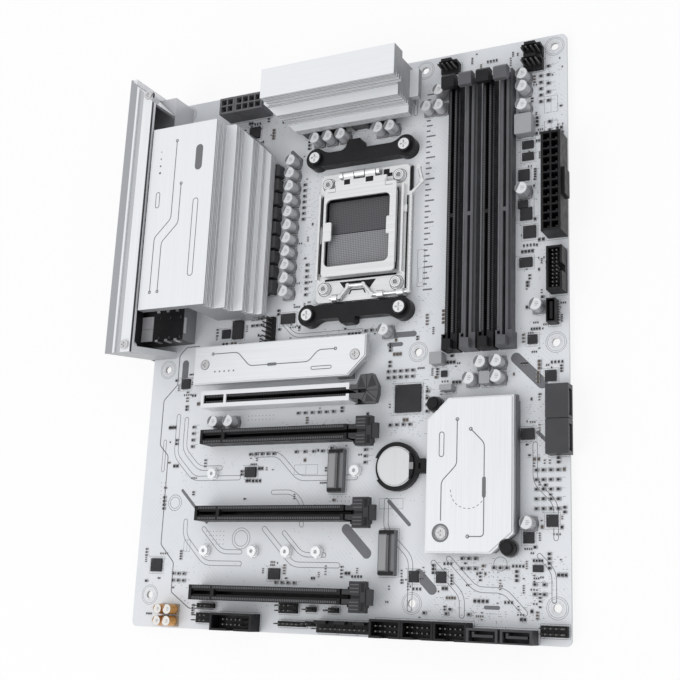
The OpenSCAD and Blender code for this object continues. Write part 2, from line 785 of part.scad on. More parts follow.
module dimm_slots_black() {
    color([0.1, 0.1, 0.11]) dimm_slots(0);
}

module dimm_slots_grey() {
    color([0.33, 0.33, 0.35]) dimm_slots(1);
}

module dimm_latch(i) {
    arm = latch_arm_w / 2;
    on_board() translate([dimm_x + i * dimm_pitch, 0, 0]) {
        bar_x(-arm, arm, latch_axis_y, latch_axis_z, latch_foot_r);
        bar_x(-dimm_w / 2, dimm_w / 2, latch_axis_y, latch_axis_z, latch_pin_r);
        box([-arm, latch_axis_y - 1.6, latch_axis_z],
            [arm, latch_axis_y + 1.9, latch_h - latch_pad_h + eps]);
        // thumb pad with a chamfered outer edge
        translate([-latch_pad_w / 2, latch_axis_y + 1.9, 0]) rotate([90, 0, 90]) linear_extrude(latch_pad_w)
            polygon([
                [0, latch_h - latch_pad_h], [0, latch_h - 1.6], [-1.6, latch_h],
                [-latch_pad_len, latch_h], [-latch_pad_len, latch_h - 3], [-4.6, latch_h - latch_pad_h]
            ]);
    }
}

module dimm_latch_1() {
    color([0.15, 0.15, 0.16]) dimm_latch(0);
}

module dimm_latch_2() {
    color([0.36, 0.36, 0.38]) dimm_latch(1);
}

module dimm_latch_3() {
    color([0.15, 0.15, 0.16]) dimm_latch(2);
}

module dimm_latch_4() {
    color([0.36, 0.36, 0.38]) dimm_latch(3);
}

// =====================================================================
// Expansion slots and their clips
// =====================================================================

module pcie_slot(i) {
    half = pcie_w / 2;
    cheek_y = clip_hub_w / 2 + clip_cheek_gap;
    on_board() translate([0, pcie_y[i], 0]) difference() {
        union() {
            box([pcie_x, -half, 0], [pcie_end_x, half, pcie_h]);
            // floor and cheeks of the clip seat
            box([pcie_end_x - 1, -cheek_y - clip_cheek_t, 0], [clip_axis_x + 3, cheek_y + clip_cheek_t, 1]);
            for (s = [-1, 1])
                translate([0, s * (cheek_y + clip_cheek_t / 2), 0])
                    box([clip_axis_x - 2.6, -clip_cheek_t / 2, 0],
                        [clip_axis_x + 2.6, clip_cheek_t / 2, clip_axis_z + 2]);
        }
        // card groove, split by the key
        box([pcie_x + pcie_wall, -pcie_groove_w / 2, 2.2],
            [pcie_x + pcie_key_x, pcie_groove_w / 2, pcie_h + 1]);
        box([pcie_x + pcie_key_x + pcie_key_w, -pcie_groove_w / 2, 2.2],
            [pcie_end_x + 1, pcie_groove_w / 2, pcie_h + 1]);
        // wide lead-in along the top
        box([pcie_x + pcie_wall, -1.7, pcie_h - 1.2], [pcie_x + pcie_key_x, 1.7, pcie_h + 1]);
        box([pcie_x + pcie_key_x + pcie_key_w, -1.7, pcie_h - 1.2],
            [pcie_end_x - pcie_wall, 1.7, pcie_h + 1]);
        bar_y(-10, 10, clip_axis_x, clip_axis_z, clip_pin_r + running_gap);
        // feet at the corners leave the middle of the body clear of the board
        box([pcie_x + 3, -half - 1, -1], [pcie_end_x - 3, -half + 1, 0.6]);
        box([pcie_x + 3, half - 1, -1], [pcie_end_x - 3, half + 1, 0.6]);
    }
}

module pcie_slot_1() {
    color([0.1, 0.1, 0.11]) pcie_slot(0);
}

module pcie_slot_2() {
    color([0.1, 0.1, 0.11]) pcie_slot(1);
}

module pcie_slot_3() {
    color([0.1, 0.1, 0.11]) pcie_slot(2);
}

module pcie_slot_4() {
    color([0.1, 0.1, 0.11]) pcie_slot(3);
}

// Folded steel cover round the first slot, open along the groove.
module pcie_slot_shield() {
    half = pcie_w / 2;
    fit = 0.05;
    color([0.92, 0.92, 0.93]) on_board() translate([0, pcie_y[0], 0]) difference() {
        box([pcie_x - fit - shield_t, -half - fit - shield_t, 0.3],
            [pcie_end_x + fit + shield_t, half + fit + shield_t, pcie_h + fit + shield_t]);
        box([pcie_x - fit, -half - fit, 0], [pcie_end_x + fit, half + fit, pcie_h + fit]);
        box([pcie_x + 1, -2.3, pcie_h - 1], [pcie_x + pcie_key_x + 0.2, 2.3, pcie_h + 3]);
        box([pcie_x + pcie_key_x + pcie_key_w - 0.2, -2.3, pcie_h - 1], [pcie_end_x - 1, 2.3, pcie_h + 3]);
        box([pcie_end_x - 1, -1.2, 2], [pcie_end_x + 3, 1.2, pcie_h + 3]);
        // notch over the clip seat's floor
        box([pcie_end_x - eps, -half - 2, 0], [pcie_end_x + 3, half + 2, 1.3]);
    }
}

// Rocker clip: hub between the cheeks, jaws toward the slot, wings or a fan as the thumb pad.
module pcie_clip(i, fan) {
    hub = clip_hub_w / 2;
    cheek_out = hub + clip_cheek_gap + clip_cheek_t;
    jaw_x = pcie_end_x + 1.2;
    on_board() translate([0, pcie_y[i], 0]) difference() {
        union() {
            bar_y(-hub, hub, clip_axis_x, clip_axis_z, 2.4);
            bar_y(-cheek_out, cheek_out, clip_axis_x, clip_axis_z, clip_pin_r);
            box([clip_axis_x - 2.2, -hub, clip_axis_z], [clip_axis_x + 2.2, hub, clip_pad_top]);
            // jaws that hold the card's hook
            box([jaw_x, -hub, clip_pad_z], [clip_axis_x, hub, clip_pad_top]);
            if (fan)
                translate([0, 0, clip_pad_z]) linear_extrude(clip_pad_top - clip_pad_z)
                    polygon([
                        [jaw_x + 3, hub - 1], [jaw_x + 5.6, 8.4], [jaw_x + 12.4, 8.8], [jaw_x + 15.6, 2.4],
                        [jaw_x + 15.6, -2], [jaw_x + 14.4, -6.2], [jaw_x + 8.4, -6.2], [jaw_x + 3, -hub + 1]
                    ]);
            else {
                box([clip_axis_x - 2.6, -clip_wing_w / 2, clip_pad_z],
                    [clip_axis_x + 6.2, clip_wing_w / 2, clip_pad_top]);
                box([clip_axis_x + 6, -3.8, clip_pad_z + 0.6],
                    [clip_axis_x + 9.4, 3.8, clip_pad_top - 0.6]);
            }
        }
        // slot for the card's hook
        box([jaw_x - 1, -1.1, clip_pad_z - 1], [clip_axis_x + (fan ? 2.6 : -1.4), 1.1, clip_pad_top + 1]);
    }
}

module pcie_clip_1() {
    color([0.28, 0.28, 0.3]) pcie_clip(0, true);
}

module pcie_clip_2() {
    color([0.2, 0.2, 0.21]) pcie_clip(1, false);
}

module pcie_clip_3() {
    color([0.2, 0.2, 0.21]) pcie_clip(2, false);
}

module pcie_clip_4() {
    color([0.2, 0.2, 0.21]) pcie_clip(3, false);
}

// =====================================================================
// Drive sockets, their standoffs and heatsink
// =====================================================================

module m2_sockets() {
    color([0.33, 0.33, 0.34]) on_board()
        for (p = m2_sockets_at) translate([p[0], p[1] - m2_socket_len / 2, 0]) difference() {
            union() {
                cube([m2_socket_w, m2_socket_len, m2_socket_h - 1]);
                box([0, 0.6, 0], [5.4, m2_socket_len - 0.6, m2_socket_h]);
                box([7, 0, 0], [m2_socket_w, m2_socket_len, m2_socket_h - 0.4]);
            }
            // card mouth, split by the key
            box([-1, 1.1, 1.5], [4.6, 4.6, 2.7]);
            box([-1, 5.8, 1.5], [4.6, m2_socket_len - 1.1, 2.7]);
        }
}

module m2_standoffs() {
    color([0.8, 0.8, 0.8]) on_board() {
        for (p = m2_standoff_points) difference() {
            post(p, m2_standoff_r, 0, m2_standoff_h);
            drill(p, m2_thread_r, 0.6, m2_standoff_h);
        }
        for (p = m2_post_points) difference() {
            post(p, m2_standoff_r, 0, m2_plate_z);
            drill(p, m2_thread_r + 0.05, 0.6, m2_plate_z);
        }
    }
}

module m2_outline(inset) {
    left = m2_plate_left + inset;
    right = m2_plate_right - inset;
    bottom = m2_plate_bottom + inset;
    top = m2_plate_top - inset;
    cut = m2_cut - inset * 0.4;
    polygon([[left, bottom], [right - cut, bottom], [right, bottom + cut], [right, top], [left, top]]);
}

module m2_heatsink() {
    rebate = 0.6;
    color([0.93, 0.93, 0.94]) on_board() difference() {
        union() {
            translate([0, 0, m2_plate_z]) linear_extrude(m2_plate_t - rebate) m2_outline(0);
            translate([0, 0, m2_plate_z + m2_plate_t - rebate - eps])
                linear_extrude(rebate + eps) m2_outline(0.6);
        }
        for (p = m2_post_points) {
            drill(p, m2_thread_r + 0.2, m2_plate_z, m2_plate_z + m2_plate_t);
            post(p, cover_head_r + 0.3, m2_plate_z + m2_plate_t - 1, m2_plate_z + m2_plate_t + 1);
        }
    }
}

// The small cross-head screws of the card heatsink, the shroud and the chipset cover.
module cover_screws() {
    color([0.75, 0.75, 0.77]) on_board() {
        for (p = m2_post_points) {
            cross_head(p, cover_head_r, m2_plate_z + m2_plate_t - 1, 1.2);
            post(p, m2_thread_r, 0.8, m2_plate_z + m2_plate_t - 1);
        }
        for (p = shroud_screw_points) {
            cross_head(p, cover_head_r, shroud_h, 1);
            post(p, m2_thread_r, shroud_h - shroud_wall - 5, shroud_h);
        }
        cross_head(chipset_screw_point, cover_head_r, chipset_h - 1.2, 1);
        post(chipset_screw_point, m2_thread_r, chipset_base_z + 0.6, chipset_h - 1.2);
    }
}

// =====================================================================
// Power stage cooling
// =====================================================================

// Slots between the fins of one riser, as cutters in the profile plane. The riser faces +X of that plane.
module fin_slots(face, z_low, z_high) {
    count = floor((z_high - z_low - 1.4) / fin_pitch);
    for (j = [0:count])
        if (z_low + 0.7 + j * fin_pitch + fin_gap < z_high - 0.7)
            translate([face - fin_depth, z_low + 0.7 + j * fin_pitch]) square([fin_depth + 0.2, fin_gap]);
}

// Stepped profile: a flat plate on top, ribbed risers, flat ledges and a foot on the power stages.
module stair_profile(back, plate_h, steps, front, top_z, web, foot) {
    difference() {
        polygon(concat(
            [[back, top_z], [back, top_z - plate_h], [web, top_z - plate_h], [web, sink_front_z]],
            [[foot[0], sink_front_z], [foot[0], sink_base_z]],
            [[foot[1], sink_base_z], [foot[1], sink_front_z]],
            [[front, sink_front_z], [front, steps[len(steps) - 1][1]]],
            [
                for (i = [len(steps) - 1:-1:0])
                    each [[steps[i][0], steps[i][1]], [steps[i][0], i == 0 ? top_z : steps[i - 1][1]]]
            ]
        ));
        for (i = [0:len(steps) - 1])
            fin_slots(steps[i][0], steps[i][1], (i == 0 ? top_z : steps[i - 1][1]) - (i == 0 ? 1 : 0));
    }
}

module vrm_heatsink_left() {
    end_y = left_sink_y + left_sink_len;
    color([0.86, 0.86, 0.88]) on_board() difference() {
        union() {
            translate([0, end_y, 0]) rotate([90, 0, 0]) linear_extrude(left_sink_len)
                stair_profile(
                    left_sink_x, 5, left_stair, left_front_x, left_sink_h, left_sink_x + 30, [60, 69]
                );
            for (p = left_screw_points) post(p, sink_boss_r, 0, sink_front_z + 1);
        }
        // corner cut beside the processor power sockets
        translate([left_front_x, end_y, 0]) rotate([0, 0, 45])
            translate([-left_cut / sqrt(2), -40, -1]) cube([60, 80, left_sink_h + 2]);
        for (p = left_screw_points) drill(p, sink_screw_r, 0, sink_front_z - 1);
    }
}

module vrm_heatsink_top() {
    right_x = top_sink_x + top_sink_len - 3;
    left_x = top_sink_x - 3.6;
    front = top_front_y;
    color([0.86, 0.86, 0.88]) on_board() difference() {
        union() {
            translate([left_x, top_sink_rear_y, 0]) rotate([90, 0, 90]) linear_extrude(right_x - left_x)
                mirror([1, 0])
                    stair_profile(
                        0, top_sink_h - sink_front_z, top_stair, front, top_sink_h, 0.5, [11.5, 19]
                    );
            // the top face runs past the right end of the lower fins
            translate([right_x - 1, top_sink_rear_y, 0]) rotate([90, 0, 90]) linear_extrude(4)
                mirror([1, 0]) difference() {
                    translate([0, top_stair[0][1] + 2])
                        square([top_stair[0][0], top_sink_h - top_stair[0][1] - 2]);
                    fin_slots(top_stair[0][0], top_stair[0][1], top_sink_h - 1);
                }
            // foot beside the right end
            box([right_x - 1, top_sink_rear_y - 18, sink_front_z],
                [right_x + 5, top_sink_rear_y - 2, sink_front_z + 4]);
            for (p = top_screw_points) post(p, sink_boss_r, 0, sink_front_z + 1);
        }
        // slanted left end
        translate([left_x, top_sink_rear_y - front, 0]) rotate([0, 0, -45])
            translate([-40, -60, -1]) cube([80, 60 + top_cut / sqrt(2), top_sink_h + 2]);
        box([left_x - 1, top_sink_rear_y - 40, top_stair[0][1] + 2],
            [top_sink_x, top_sink_rear_y + 1, top_sink_h + 1]);
        for (p = top_screw_points) drill(p, sink_screw_r, 0, sink_front_z - 1);
    }
}

// Soft pads between the heatsinks and what they cool.
module thermal_pads() {
    color([0.6, 0.65, 0.7]) on_board() {
        box([61, left_sink_y + 18, power_stage_h], [67, left_sink_y + left_sink_len - 20, sink_base_z]);
        box([top_sink_x + 16, top_sink_rear_y - 18, power_stage_h],
            [top_sink_x + 66, top_sink_rear_y - 12.5, sink_base_z]);
        box([m2_plate_left + 14, m2_plate_mid_y - 9, m2_plate_z - 1],
            [m2_plate_left + 84, m2_plate_mid_y + 9, m2_plate_z]);
        translate([chipset_x + chipset_w / 2, chipset_y + chipset_len / 2, chipset_base_z - 0.6])
            linear_extrude(0.6) square([20, 20], center = true);
    }
}

// Screws of the two heatsinks, driven from under the board.
module heatsink_screws() {
    color([0.7, 0.7, 0.72]) on_board()
        for (p = sink_screw_points) {
            post(p, 2.7, -board_t - 1.6, -board_t);
            post(p, sink_screw_r, -board_t - eps, sink_front_z - 1.4);
        }
}

// =====================================================================
// Rear panel
// =====================================================================

// Opening of the port plate round a port, as a cutter.
module port_hole(drop, w, z0, z1) {
    box([-rear_out - 1, from_top(drop) - w / 2 - port_gap, z0 - port_gap],
        [sheet_in + 1, from_top(drop) + w / 2 + port_gap, z1 + port_gap]);
}

module io_shield() {
    color([0.25, 0.25, 0.27]) on_board() difference() {
        box([-rear_out, shroud_y, -io_drop], [sheet_in, board_h, shroud_h - shroud_wall]);
        port_hole(display_drop, display_w, 0.4, display_top);
        for (d = usb_drops) port_hole(d, usb_w, 0.4, usb_top);
        port_hole(usb_drops[2], lan_w, usb_top, usb_top + lan_h);
        for (d = antenna_drops)
            bar_x(-rear_out - 1, sheet_in + 1, from_top(d), antenna_z, antenna_r + port_gap);
        for (k = [0:2])
            bar_x(
                -rear_out - 1, sheet_in + 1, from_top(audio_first_drop + k * audio_pitch), 7, 4 + port_gap
            );
        bar_x(-rear_out - 1, sheet_in + 1, from_top(button_drop), button_z, button_r + 0.2);
        // vent slots above the low ports
        for (k = [0:9])
            box([-rear_out - 1, shroud_y + 8 + k * 5, 20], [sheet_in + 1, shroud_y + 10.4 + k * 5, 32]);
    }
}

// Side view of a wall at the leaning lower end, between two distances from its outer face.
module shroud_end(x0, x1, out, inside) {
    top = shroud_h - shroud_wall + eps;
    translate([x0, 0, 0]) rotate([90, 0, 90]) linear_extrude(x1 - x0) polygon([
        [shroud_y + out, 0], [shroud_y + inside, 0], [shroud_low_y + inside, top], [shroud_low_y + out, top]
    ]);
}

module io_shroud() {
    right = shroud_w - rear_out;
    under = shroud_h - shroud_wall;
    cut_y = board_h - shroud_cut;
    post_len = display_drop - display_w / 2 - 0.3;
    color([0.9, 0.9, 0.91]) on_board() difference() {
        union() {
            translate([0, 0, under]) linear_extrude(shroud_wall) polygon([
                [-rear_out, shroud_low_y], [right, shroud_low_y], [right, cut_y], [-rear_out, board_h]
            ]);
            box([sheet_in, shroud_y, shroud_h - 8], [sheet_in + shroud_wall, board_h - 3, under + eps]);
            box([right - shroud_wall, shroud_low_y, under - 1.5], [right, cut_y, under + eps]);
            // lower end wall with its upright ribs
            shroud_end(sheet_in, right, 0, 2);
            for (x = [2, 6, 10, 13.8]) shroud_end(x, x + 1.2, 2 - eps, 3.6);
            // post at the upper end and the wall under the slanting edge
            box([sheet_in, board_h - post_len, 0], [sheet_in + 3, board_h, under + eps]);
            translate([0, 0, display_top + 2]) linear_extrude(under - display_top - 2 + eps) polygon([
                [sheet_in, board_h - 3.2], [right - 2.2, cut_y], [right, cut_y], [sheet_in, board_h - 0.8]
            ]);
            for (p = shroud_screw_points) post(p, 3.2, under - 5, shroud_h);
        }
        // two grooves along the outer edge
        box([-rear_out - 1, shroud_low_y - 1, shroud_h - groove_step], [3.1, board_h + 1, shroud_h + 1]);
        box([4.4, shroud_low_y - 1, shroud_h - groove_step], [8.3, board_h + 1, shroud_h + 1]);
        for (p = shroud_screw_points) drill(p, m2_thread_r + 0.1, under - 6, shroud_h);
    }
}

// The mouth of a rear port, as a cutter, and the tongue that stands in it.
module mouth(y, z, w, h, depth) {
    box([port_front_x - 1, y - w / 2, z - h / 2], [port_front_x + depth, y + w / 2, z + h / 2]);
}

module tongue(y, z, w, t, depth) {
    box([port_front_x + 0.6, y - w / 2, z - t / 2], [port_front_x + depth + 0.5, y + w / 2, z + t / 2]);
}

module usb_ports() {
    color([0.75, 0.75, 0.77]) on_board()
        for (d = usb_drops) {
            difference() {
                box([port_front_x, from_top(d) - usb_w / 2, 0.4],
                    [port_front_x + usb_depth, from_top(d) + usb_w / 2, usb_top]);
                for (z = [4.3, 11.7]) mouth(from_top(d), z, 12.6, 5.1, 12);
            }
            for (z = [5, 12.4]) tongue(from_top(d), z, 11, 1.8, 12);
            for (s = [-1, 1]) box([4, from_top(d) + s * 5 - 1, 0], [12, from_top(d) + s * 5 + 1, 0.5]);
        }
}

module lan_port() {
    y = from_top(usb_drops[2]);
    color([0.7, 0.7, 0.72]) on_board() difference() {
        box([port_front_x, y - lan_w / 2, usb_top],
            [port_front_x + lan_depth, y + lan_w / 2, usb_top + lan_h]);
        box([port_front_x - 1, y - 5.9, usb_top + 2.2], [port_front_x + 14, y + 5.9, usb_top + 9.8]);
        box([port_front_x - 1, y - 3, usb_top + 9], [port_front_x + 10, y + 3, usb_top + 11.6]);
        // indicator windows
        for (s = [-1, 1])
            box([port_front_x - 1, y + s * 5.6 - 1.4, usb_top + 10.8],
                [port_front_x + 0.6, y + s * 5.6 + 1.4, usb_top + 12.6]);
    }
}

module display_ports() {
    y = from_top(display_drop);
    color([0.6, 0.6, 0.62]) on_board() {
        difference() {
            box([port_front_x, y - display_w / 2, 0], [port_front_x + 16, y + display_w / 2, display_top]);
            mouth(y, 4.6, 15, 5, 9);
            mouth(y, 13.2, 16.2, 4.9, 9);
        }
        tongue(y, 4.8, 12.4, 1.2, 9);
        tongue(y, 13.6, 13, 1.2, 9);
    }
}

module audio_jacks() {
    low = from_top(audio_first_drop + 2.5 * audio_pitch);
    high = from_top(audio_first_drop - 0.5 * audio_pitch);
    color([0.12, 0.12, 0.13]) on_board() difference() {
        union() {
            box([sheet_in + 0.3, low, 0], [audio_reach, high, audio_top]);
            for (k = [0:2])
                bar_x(port_front_x, sheet_in + 1, from_top(audio_first_drop + k * audio_pitch), 7, 4);
            // contact ribs on the top
            for (k = [0:2]) for (x = [9, 16, 23])
                box([x, from_top(audio_first_drop + k * audio_pitch) - 4.6, audio_top - eps],
                    [x + 1.8, from_top(audio_first_drop + k * audio_pitch) - 3.2, audio_top + 0.6]);
        }
        for (k = [0:2]) bar_x(port_front_x - 1, 12, from_top(audio_first_drop + k * audio_pitch), 7, 1.8);
    }
}

module antenna_jacks() {
    low = from_top(antenna_drops[1] + 5.4);
    high = from_top(antenna_drops[0] - 5.4);
    color([0.78, 0.66, 0.36]) on_board() {
        // screening can of the radio module
        box([0.4, low, 0], [16, high, 16]);
        for (d = antenna_drops) difference() {
            bar_x(-10.5, 0.4 + eps, from_top(d), antenna_z, antenna_r);
            bar_x(-11, -4, from_top(d), antenna_z, 2.2);
            // thread reliefs
            for (x = [-9.4:1.2:-4.6]) translate([x, from_top(d), antenna_z]) rotate([0, 90, 0])
                difference() {
                    cylinder(r = antenna_r + 1, h = 0.5);
                    translate([0, 0, -1]) cylinder(r = antenna_r - 0.35, h = 3);
                }
        }
        for (d = antenna_drops) bar_x(-9.6, -3.9, from_top(d), antenna_z, 0.6);
    }
}

module button_switch() {
    y = from_top(button_drop);
    color([0.15, 0.15, 0.16]) on_board() difference() {
        box([sheet_in + 0.3, y - 3.6, 0], [11, y + 3.6, 11]);
        bar_x(sheet_in - 1, button_seat_x + eps, y, button_z, button_r + 0.1);
        // chamber of the flange and its spring
        bar_x(0.6, button_seat_x + 2, y, button_z, button_flange_r + 0.1);
    }
}

module flash_button() {
    y = from_top(button_drop);
    color([0.85, 0.85, 0.86]) on_board() {
        bar_x(-rear_out - 1.6, 1, y, button_z, button_r);
        bar_x(0.7, 2.2, y, button_z, button_flange_r);
        bar_x(2, button_seat_x, y, button_z, button_r * 0.6);
    }
}

// =====================================================================
// Chipset cooler
// =====================================================================

// Outline of the chipset cover: a rectangle with two opposite corners cut.
module chipset_outline(inset) {
    w = chipset_w - inset;
    h = chipset_len - inset;
    polygon([
        [inset, inset], [w - chipset_cut, inset], [w, inset + chipset_cut * 0.85],
        [w, h], [inset + chipset_cut, h], [inset, h - chipset_cut * 0.95]
    ]);
}

module chipset_base() {
    color([0.5, 0.5, 0.52]) on_board() difference() {
        union() {
            translate([chipset_x + 0.8, chipset_y + 0.6, chipset_base_z])
                linear_extrude(chipset_cover_z - chipset_base_z)
                chipset_outline(0);
            for (p = chipset_pin_points) post(p, 4.2, chipset_base_z, chipset_base_z + 1.6);
            // edge rail in the shade of the cover
            box([chipset_x + chipset_w - 1, chipset_y + 12, chipset_base_z - 1.6],
                [chipset_x + chipset_w + 0.8, chipset_y + chipset_len - 2, chipset_base_z + eps]);
        }
        for (p = chipset_pin_points) drill(p, chipset_pin_r + 0.1, chipset_base_z - 2, chipset_cover_z + 1);
        for (p = chipset_pin_points) drill(p, 4, chipset_base_z + 1.6, chipset_cover_z + 1);
        drill(chipset_screw_point, m2_thread_r + 0.1, chipset_base_z + 0.5, chipset_cover_z);
    }
}

module chipset_cover() {
    edge = 0.8;
    color([0.93, 0.93, 0.94]) on_board() difference() {
        translate([chipset_x, chipset_y, 0]) {
            translate([0, 0, chipset_cover_z])
                linear_extrude(chipset_h - edge - chipset_cover_z) chipset_outline(0);
            translate([0, 0, chipset_h - edge - eps]) linear_extrude(edge + eps) chipset_outline(0.8);
        }
        post(chipset_screw_point, 4, chipset_h - 1.2, chipset_h + 1);
        drill(chipset_screw_point, m2_thread_r + 0.2, chipset_cover_z, chipset_h);
        for (p = chipset_pin_points) drill(p, 4.2, chipset_cover_z - 1, chipset_h);
    }
}

module chipset_push_pins() {
    color([0.08, 0.08, 0.09]) on_board()
        for (p = chipset_pin_points) {
            post(p, 3.6, chipset_base_z + 1.6, chipset_h - 1.4);
            post(p, 2.4, chipset_h - 1.4 - eps, chipset_h - 0.6);
            post(p, chipset_pin_r, -board_t - 0.4, chipset_base_z + 1.6 + eps);
            translate([p[0], p[1], -board_t - 1.8]) cylinder(r1 = 0.9, r2 = 2.1, h = 1.6);
        }
}

// =====================================================================
// Power sockets
// =====================================================================

// A grid of square cells in a block, with a ramp for the plug's latch on the far side.
module power_block(nx, ny, latch_w) {
    w = nx * power_pitch + 2 * power_wall;
    h = ny * power_pitch + 2 * power_wall;
    difference() {
        union() {
            cube([w, h, power_h]);
            if (nx < ny)
                box([w - eps, h / 2 - latch_w / 2, 2],
                    [w + 1.5, h / 2 + latch_w / 2, power_h - 2.5]);
            else box([w / 2 - latch_w / 2, h - eps, 2], [w / 2 + latch_w / 2, h + 1.5, power_h - 2.5]);
        }
        for (i = [0:nx - 1]) for (j = [0:ny - 1])
            translate([
                power_wall + (i + 0.5) * power_pitch - power_cell / 2,
                power_wall + (j + 0.5) * power_pitch - power_cell / 2,
                2.5
            ]) cube([power_cell, power_cell, power_h]);
    }
}

module atx_power_socket() {
    color([0.09, 0.09, 0.1]) on_board() translate([atx_x, atx_y, 0]) power_block(2, atx_rows, 14);
}

module cpu_power_sockets() {
    color([0.09, 0.09, 0.1]) on_board() {
        translate([eps_8_x, eps_y, 0]) power_block(4, 2, 5);
        translate([eps_4_x, eps_y, 0]) power_block(2, 2, 4);
    }
}

// =====================================================================
// Headers
// =====================================================================

// Open-topped box of a shrouded header, its key notch in the -Y wall.
module header_box(w, d, h, notch) {
    wall = 1.1;
    difference() {
        cube([w, d, h]);
        box([wall, wall, 1.6], [w - wall, d - wall, h + 1]);
        box([w / 2 - notch / 2, -1, h * 0.35], [w / 2 + notch / 2, wall + 0.1, h + 1]);
    }
}

module usb_headers() {
    color([0.1, 0.1, 0.11]) on_board() {
        translate([usb3_x + usb3_w, usb3_y, 0]) rotate([0, 0, 90]) header_box(usb3_len, usb3_w, box_h, 4);
        translate([usb_c_x, usb_c_y, 0]) difference() {
            cube([usb_c_w, usb_c_len, 7]);
            box([0.5, 0.5, 1.5], [usb_c_w - 0.5, usb_c_len - 0.5, 8]);
        }
        // tongue of the small header
        translate([usb_c_x + usb_c_w / 2 - 0.7, usb_c_y + 1.6, 1.5 - eps])
            cube([1.4, usb_c_len - 3.2, 4.6]);
    }
}

// Blade of a drive socket: an L seen from its mouth.
module drive_blade() {
    square([10.4, 1.2]);
    square([1.2, 2.4]);
}

module drive_mouth() {
    translate([-1.2, -1.7]) square([12.8, 4.8]);
}

module sata_ports() {
    color([0.2, 0.2, 0.21]) on_board() {
        for (d = sata_side_drops) translate([sata_side_x, from_top(d), 0]) {
            difference() {
                cube([sata_side_w, sata_side_len, sata_side_h]);
                translate([sata_side_w + 1, 2.6, 3.2]) rotate([90, 0, -90])
                    mirror([1, 0]) linear_extrude(7) drive_mouth();
            }
            translate([sata_side_w - 0.6, 2.8, 3.4]) rotate([90, 0, -90])
                mirror([1, 0]) linear_extrude(6) drive_blade();
        }
        for (x = sata_low_x) translate([x, 0, 0]) {
            difference() {
                cube([sata_low_w, sata_low_d, sata_low_h]);
                translate([2.4, 2.4, 2.6]) linear_extrude(sata_low_h) drive_mouth();
            }
            translate([2.4, 2.6, 2.6 - eps]) linear_extrude(5.8) drive_blade();
        }
    }
}

module fan_headers() {
    color([0.12, 0.12, 0.13]) on_board() for (p = fan_points) translate([p[0], p[1], 0]) {
        cube([fan_w, fan_d, 3.2]);
        box([0, fan_d - 1.6, 3.2 - eps], [fan_w, fan_d, 6.4]);
        box([2.2, fan_d - 1.6, 6.4 - eps], [fan_w - 2.2, fan_d, 9]);
    }
}

module box_headers() {
    color([0.1, 0.1, 0.11]) on_board() {
        for (i = [0:len(box_header_points) - 1])
            translate([box_header_points[i][0], box_header_points[i][1], 0])
                header_box(box_header_w[i], box_d, box_h, 4.5);
        for (p = pin_header_list)
            translate([p[0], p[1], 0]) cube([p[2] * pin_pitch, p[3] * pin_pitch, 2.5]);
    }
}

// A grid of square pins, its first pin at the given corner.
module pin_grid(x, y, nx, ny, pitch, z0, z1) {
    for (i = [0:nx - 1]) for (j = [0:ny - 1])
        box([x + i * pitch - pin_half, y + j * pitch - pin_half, z0],
            [x + i * pitch + pin_half, y + j * pitch + pin_half, z1]);
}

module header_pins() {
    color([0.85, 0.75, 0.45]) on_board() {
        for (p = fan_points) pin_grid(p[0] + 1.3, p[1] + 2, 4, 1, pin_pitch, 3.2, 11);
        for (i = [0:len(box_header_points) - 1])
            pin_grid(
                box_header_points[i][0] + box_header_w[i] / 2 - 2 * pin_pitch,
                box_header_points[i][1] + box_d / 2 - pin_pitch / 2, 5, 2, pin_pitch, 1.6, box_h - 1
            );
        for (p = pin_header_list)
            pin_grid(p[0] + pin_pitch / 2, p[1] + pin_pitch / 2, p[2], p[3], pin_pitch, 2.5, 8.4);
        pin_grid(usb3_x + usb3_w / 2 - 1, usb3_y + usb3_len / 2 - 9, 2, 10, 2, 1.6, box_h - 1);
        pin_grid(
            atx_x + power_wall + power_pitch / 2, atx_y + power_wall + power_pitch / 2,
            2, atx_rows, power_pitch, 2.5, power_h - 3
        );
        for (e = [[eps_8_x, 4], [eps_4_x, 2]])
            pin_grid(
                e[0] + power_wall + power_pitch / 2, eps_y + power_wall + power_pitch / 2,
                e[1], 2, power_pitch, 2.5, power_h - 3
            );
    }
}

// =====================================================================
// Battery
// =====================================================================

module battery_holder() {
    ring = cell_r + 2.2;
    color([0.1, 0.1, 0.11]) on_board() difference() {
        union() {
            post([cell_x, cell_y], ring, 0, 3.4);
            box([cell_x + 6, cell_y - 3.6, 0], [cell_x + 16, cell_y + 3.6, 3.8]);
        }
        post([cell_x, cell_y], cell_r + 0.15, cell_z, 6);
        // open side where the cell is lifted out
        box([cell_x - ring - 1, cell_y - 6.5, cell_z], [cell_x, cell_y + 4.5, 6]);
        box([cell_x + cell_r + 2.6, cell_y - 1.4, 2.6], [cell_x + 14, cell_y + 1.4, 4]);
    }
}

module coin_cell() {
    color([0.85, 0.85, 0.86]) on_board() {
        post([cell_x, cell_y], cell_r, cell_z, cell_z + cell_t - 0.5);
        post([cell_x, cell_y], cell_r - 0.7, cell_z + cell_t - 0.5 - eps, cell_z + cell_t);
    }
}

// =====================================================================
// Small parts
// =====================================================================

// A polymer capacitor: a square base with a groove under its can.
module capacitor(point, r) {
    base_t = 1.2;
    translate([point[0], point[1], 0]) {
        translate([-r - 0.2, -r - 0.2, 0]) cube([2 * r + 0.4, 2 * r + 0.4, base_t]);
        translate([0, 0, base_t - eps]) cylinder(r = r - 0.3, h = 0.9);
        translate([0, 0, base_t + 0.7]) cylinder(r = r, h = can_h - base_t - 0.7);
    }
}

module capacitors() {
    color([0.85, 0.85, 0.86]) on_board() for (p = can_points) capacitor(p, can_r);
}

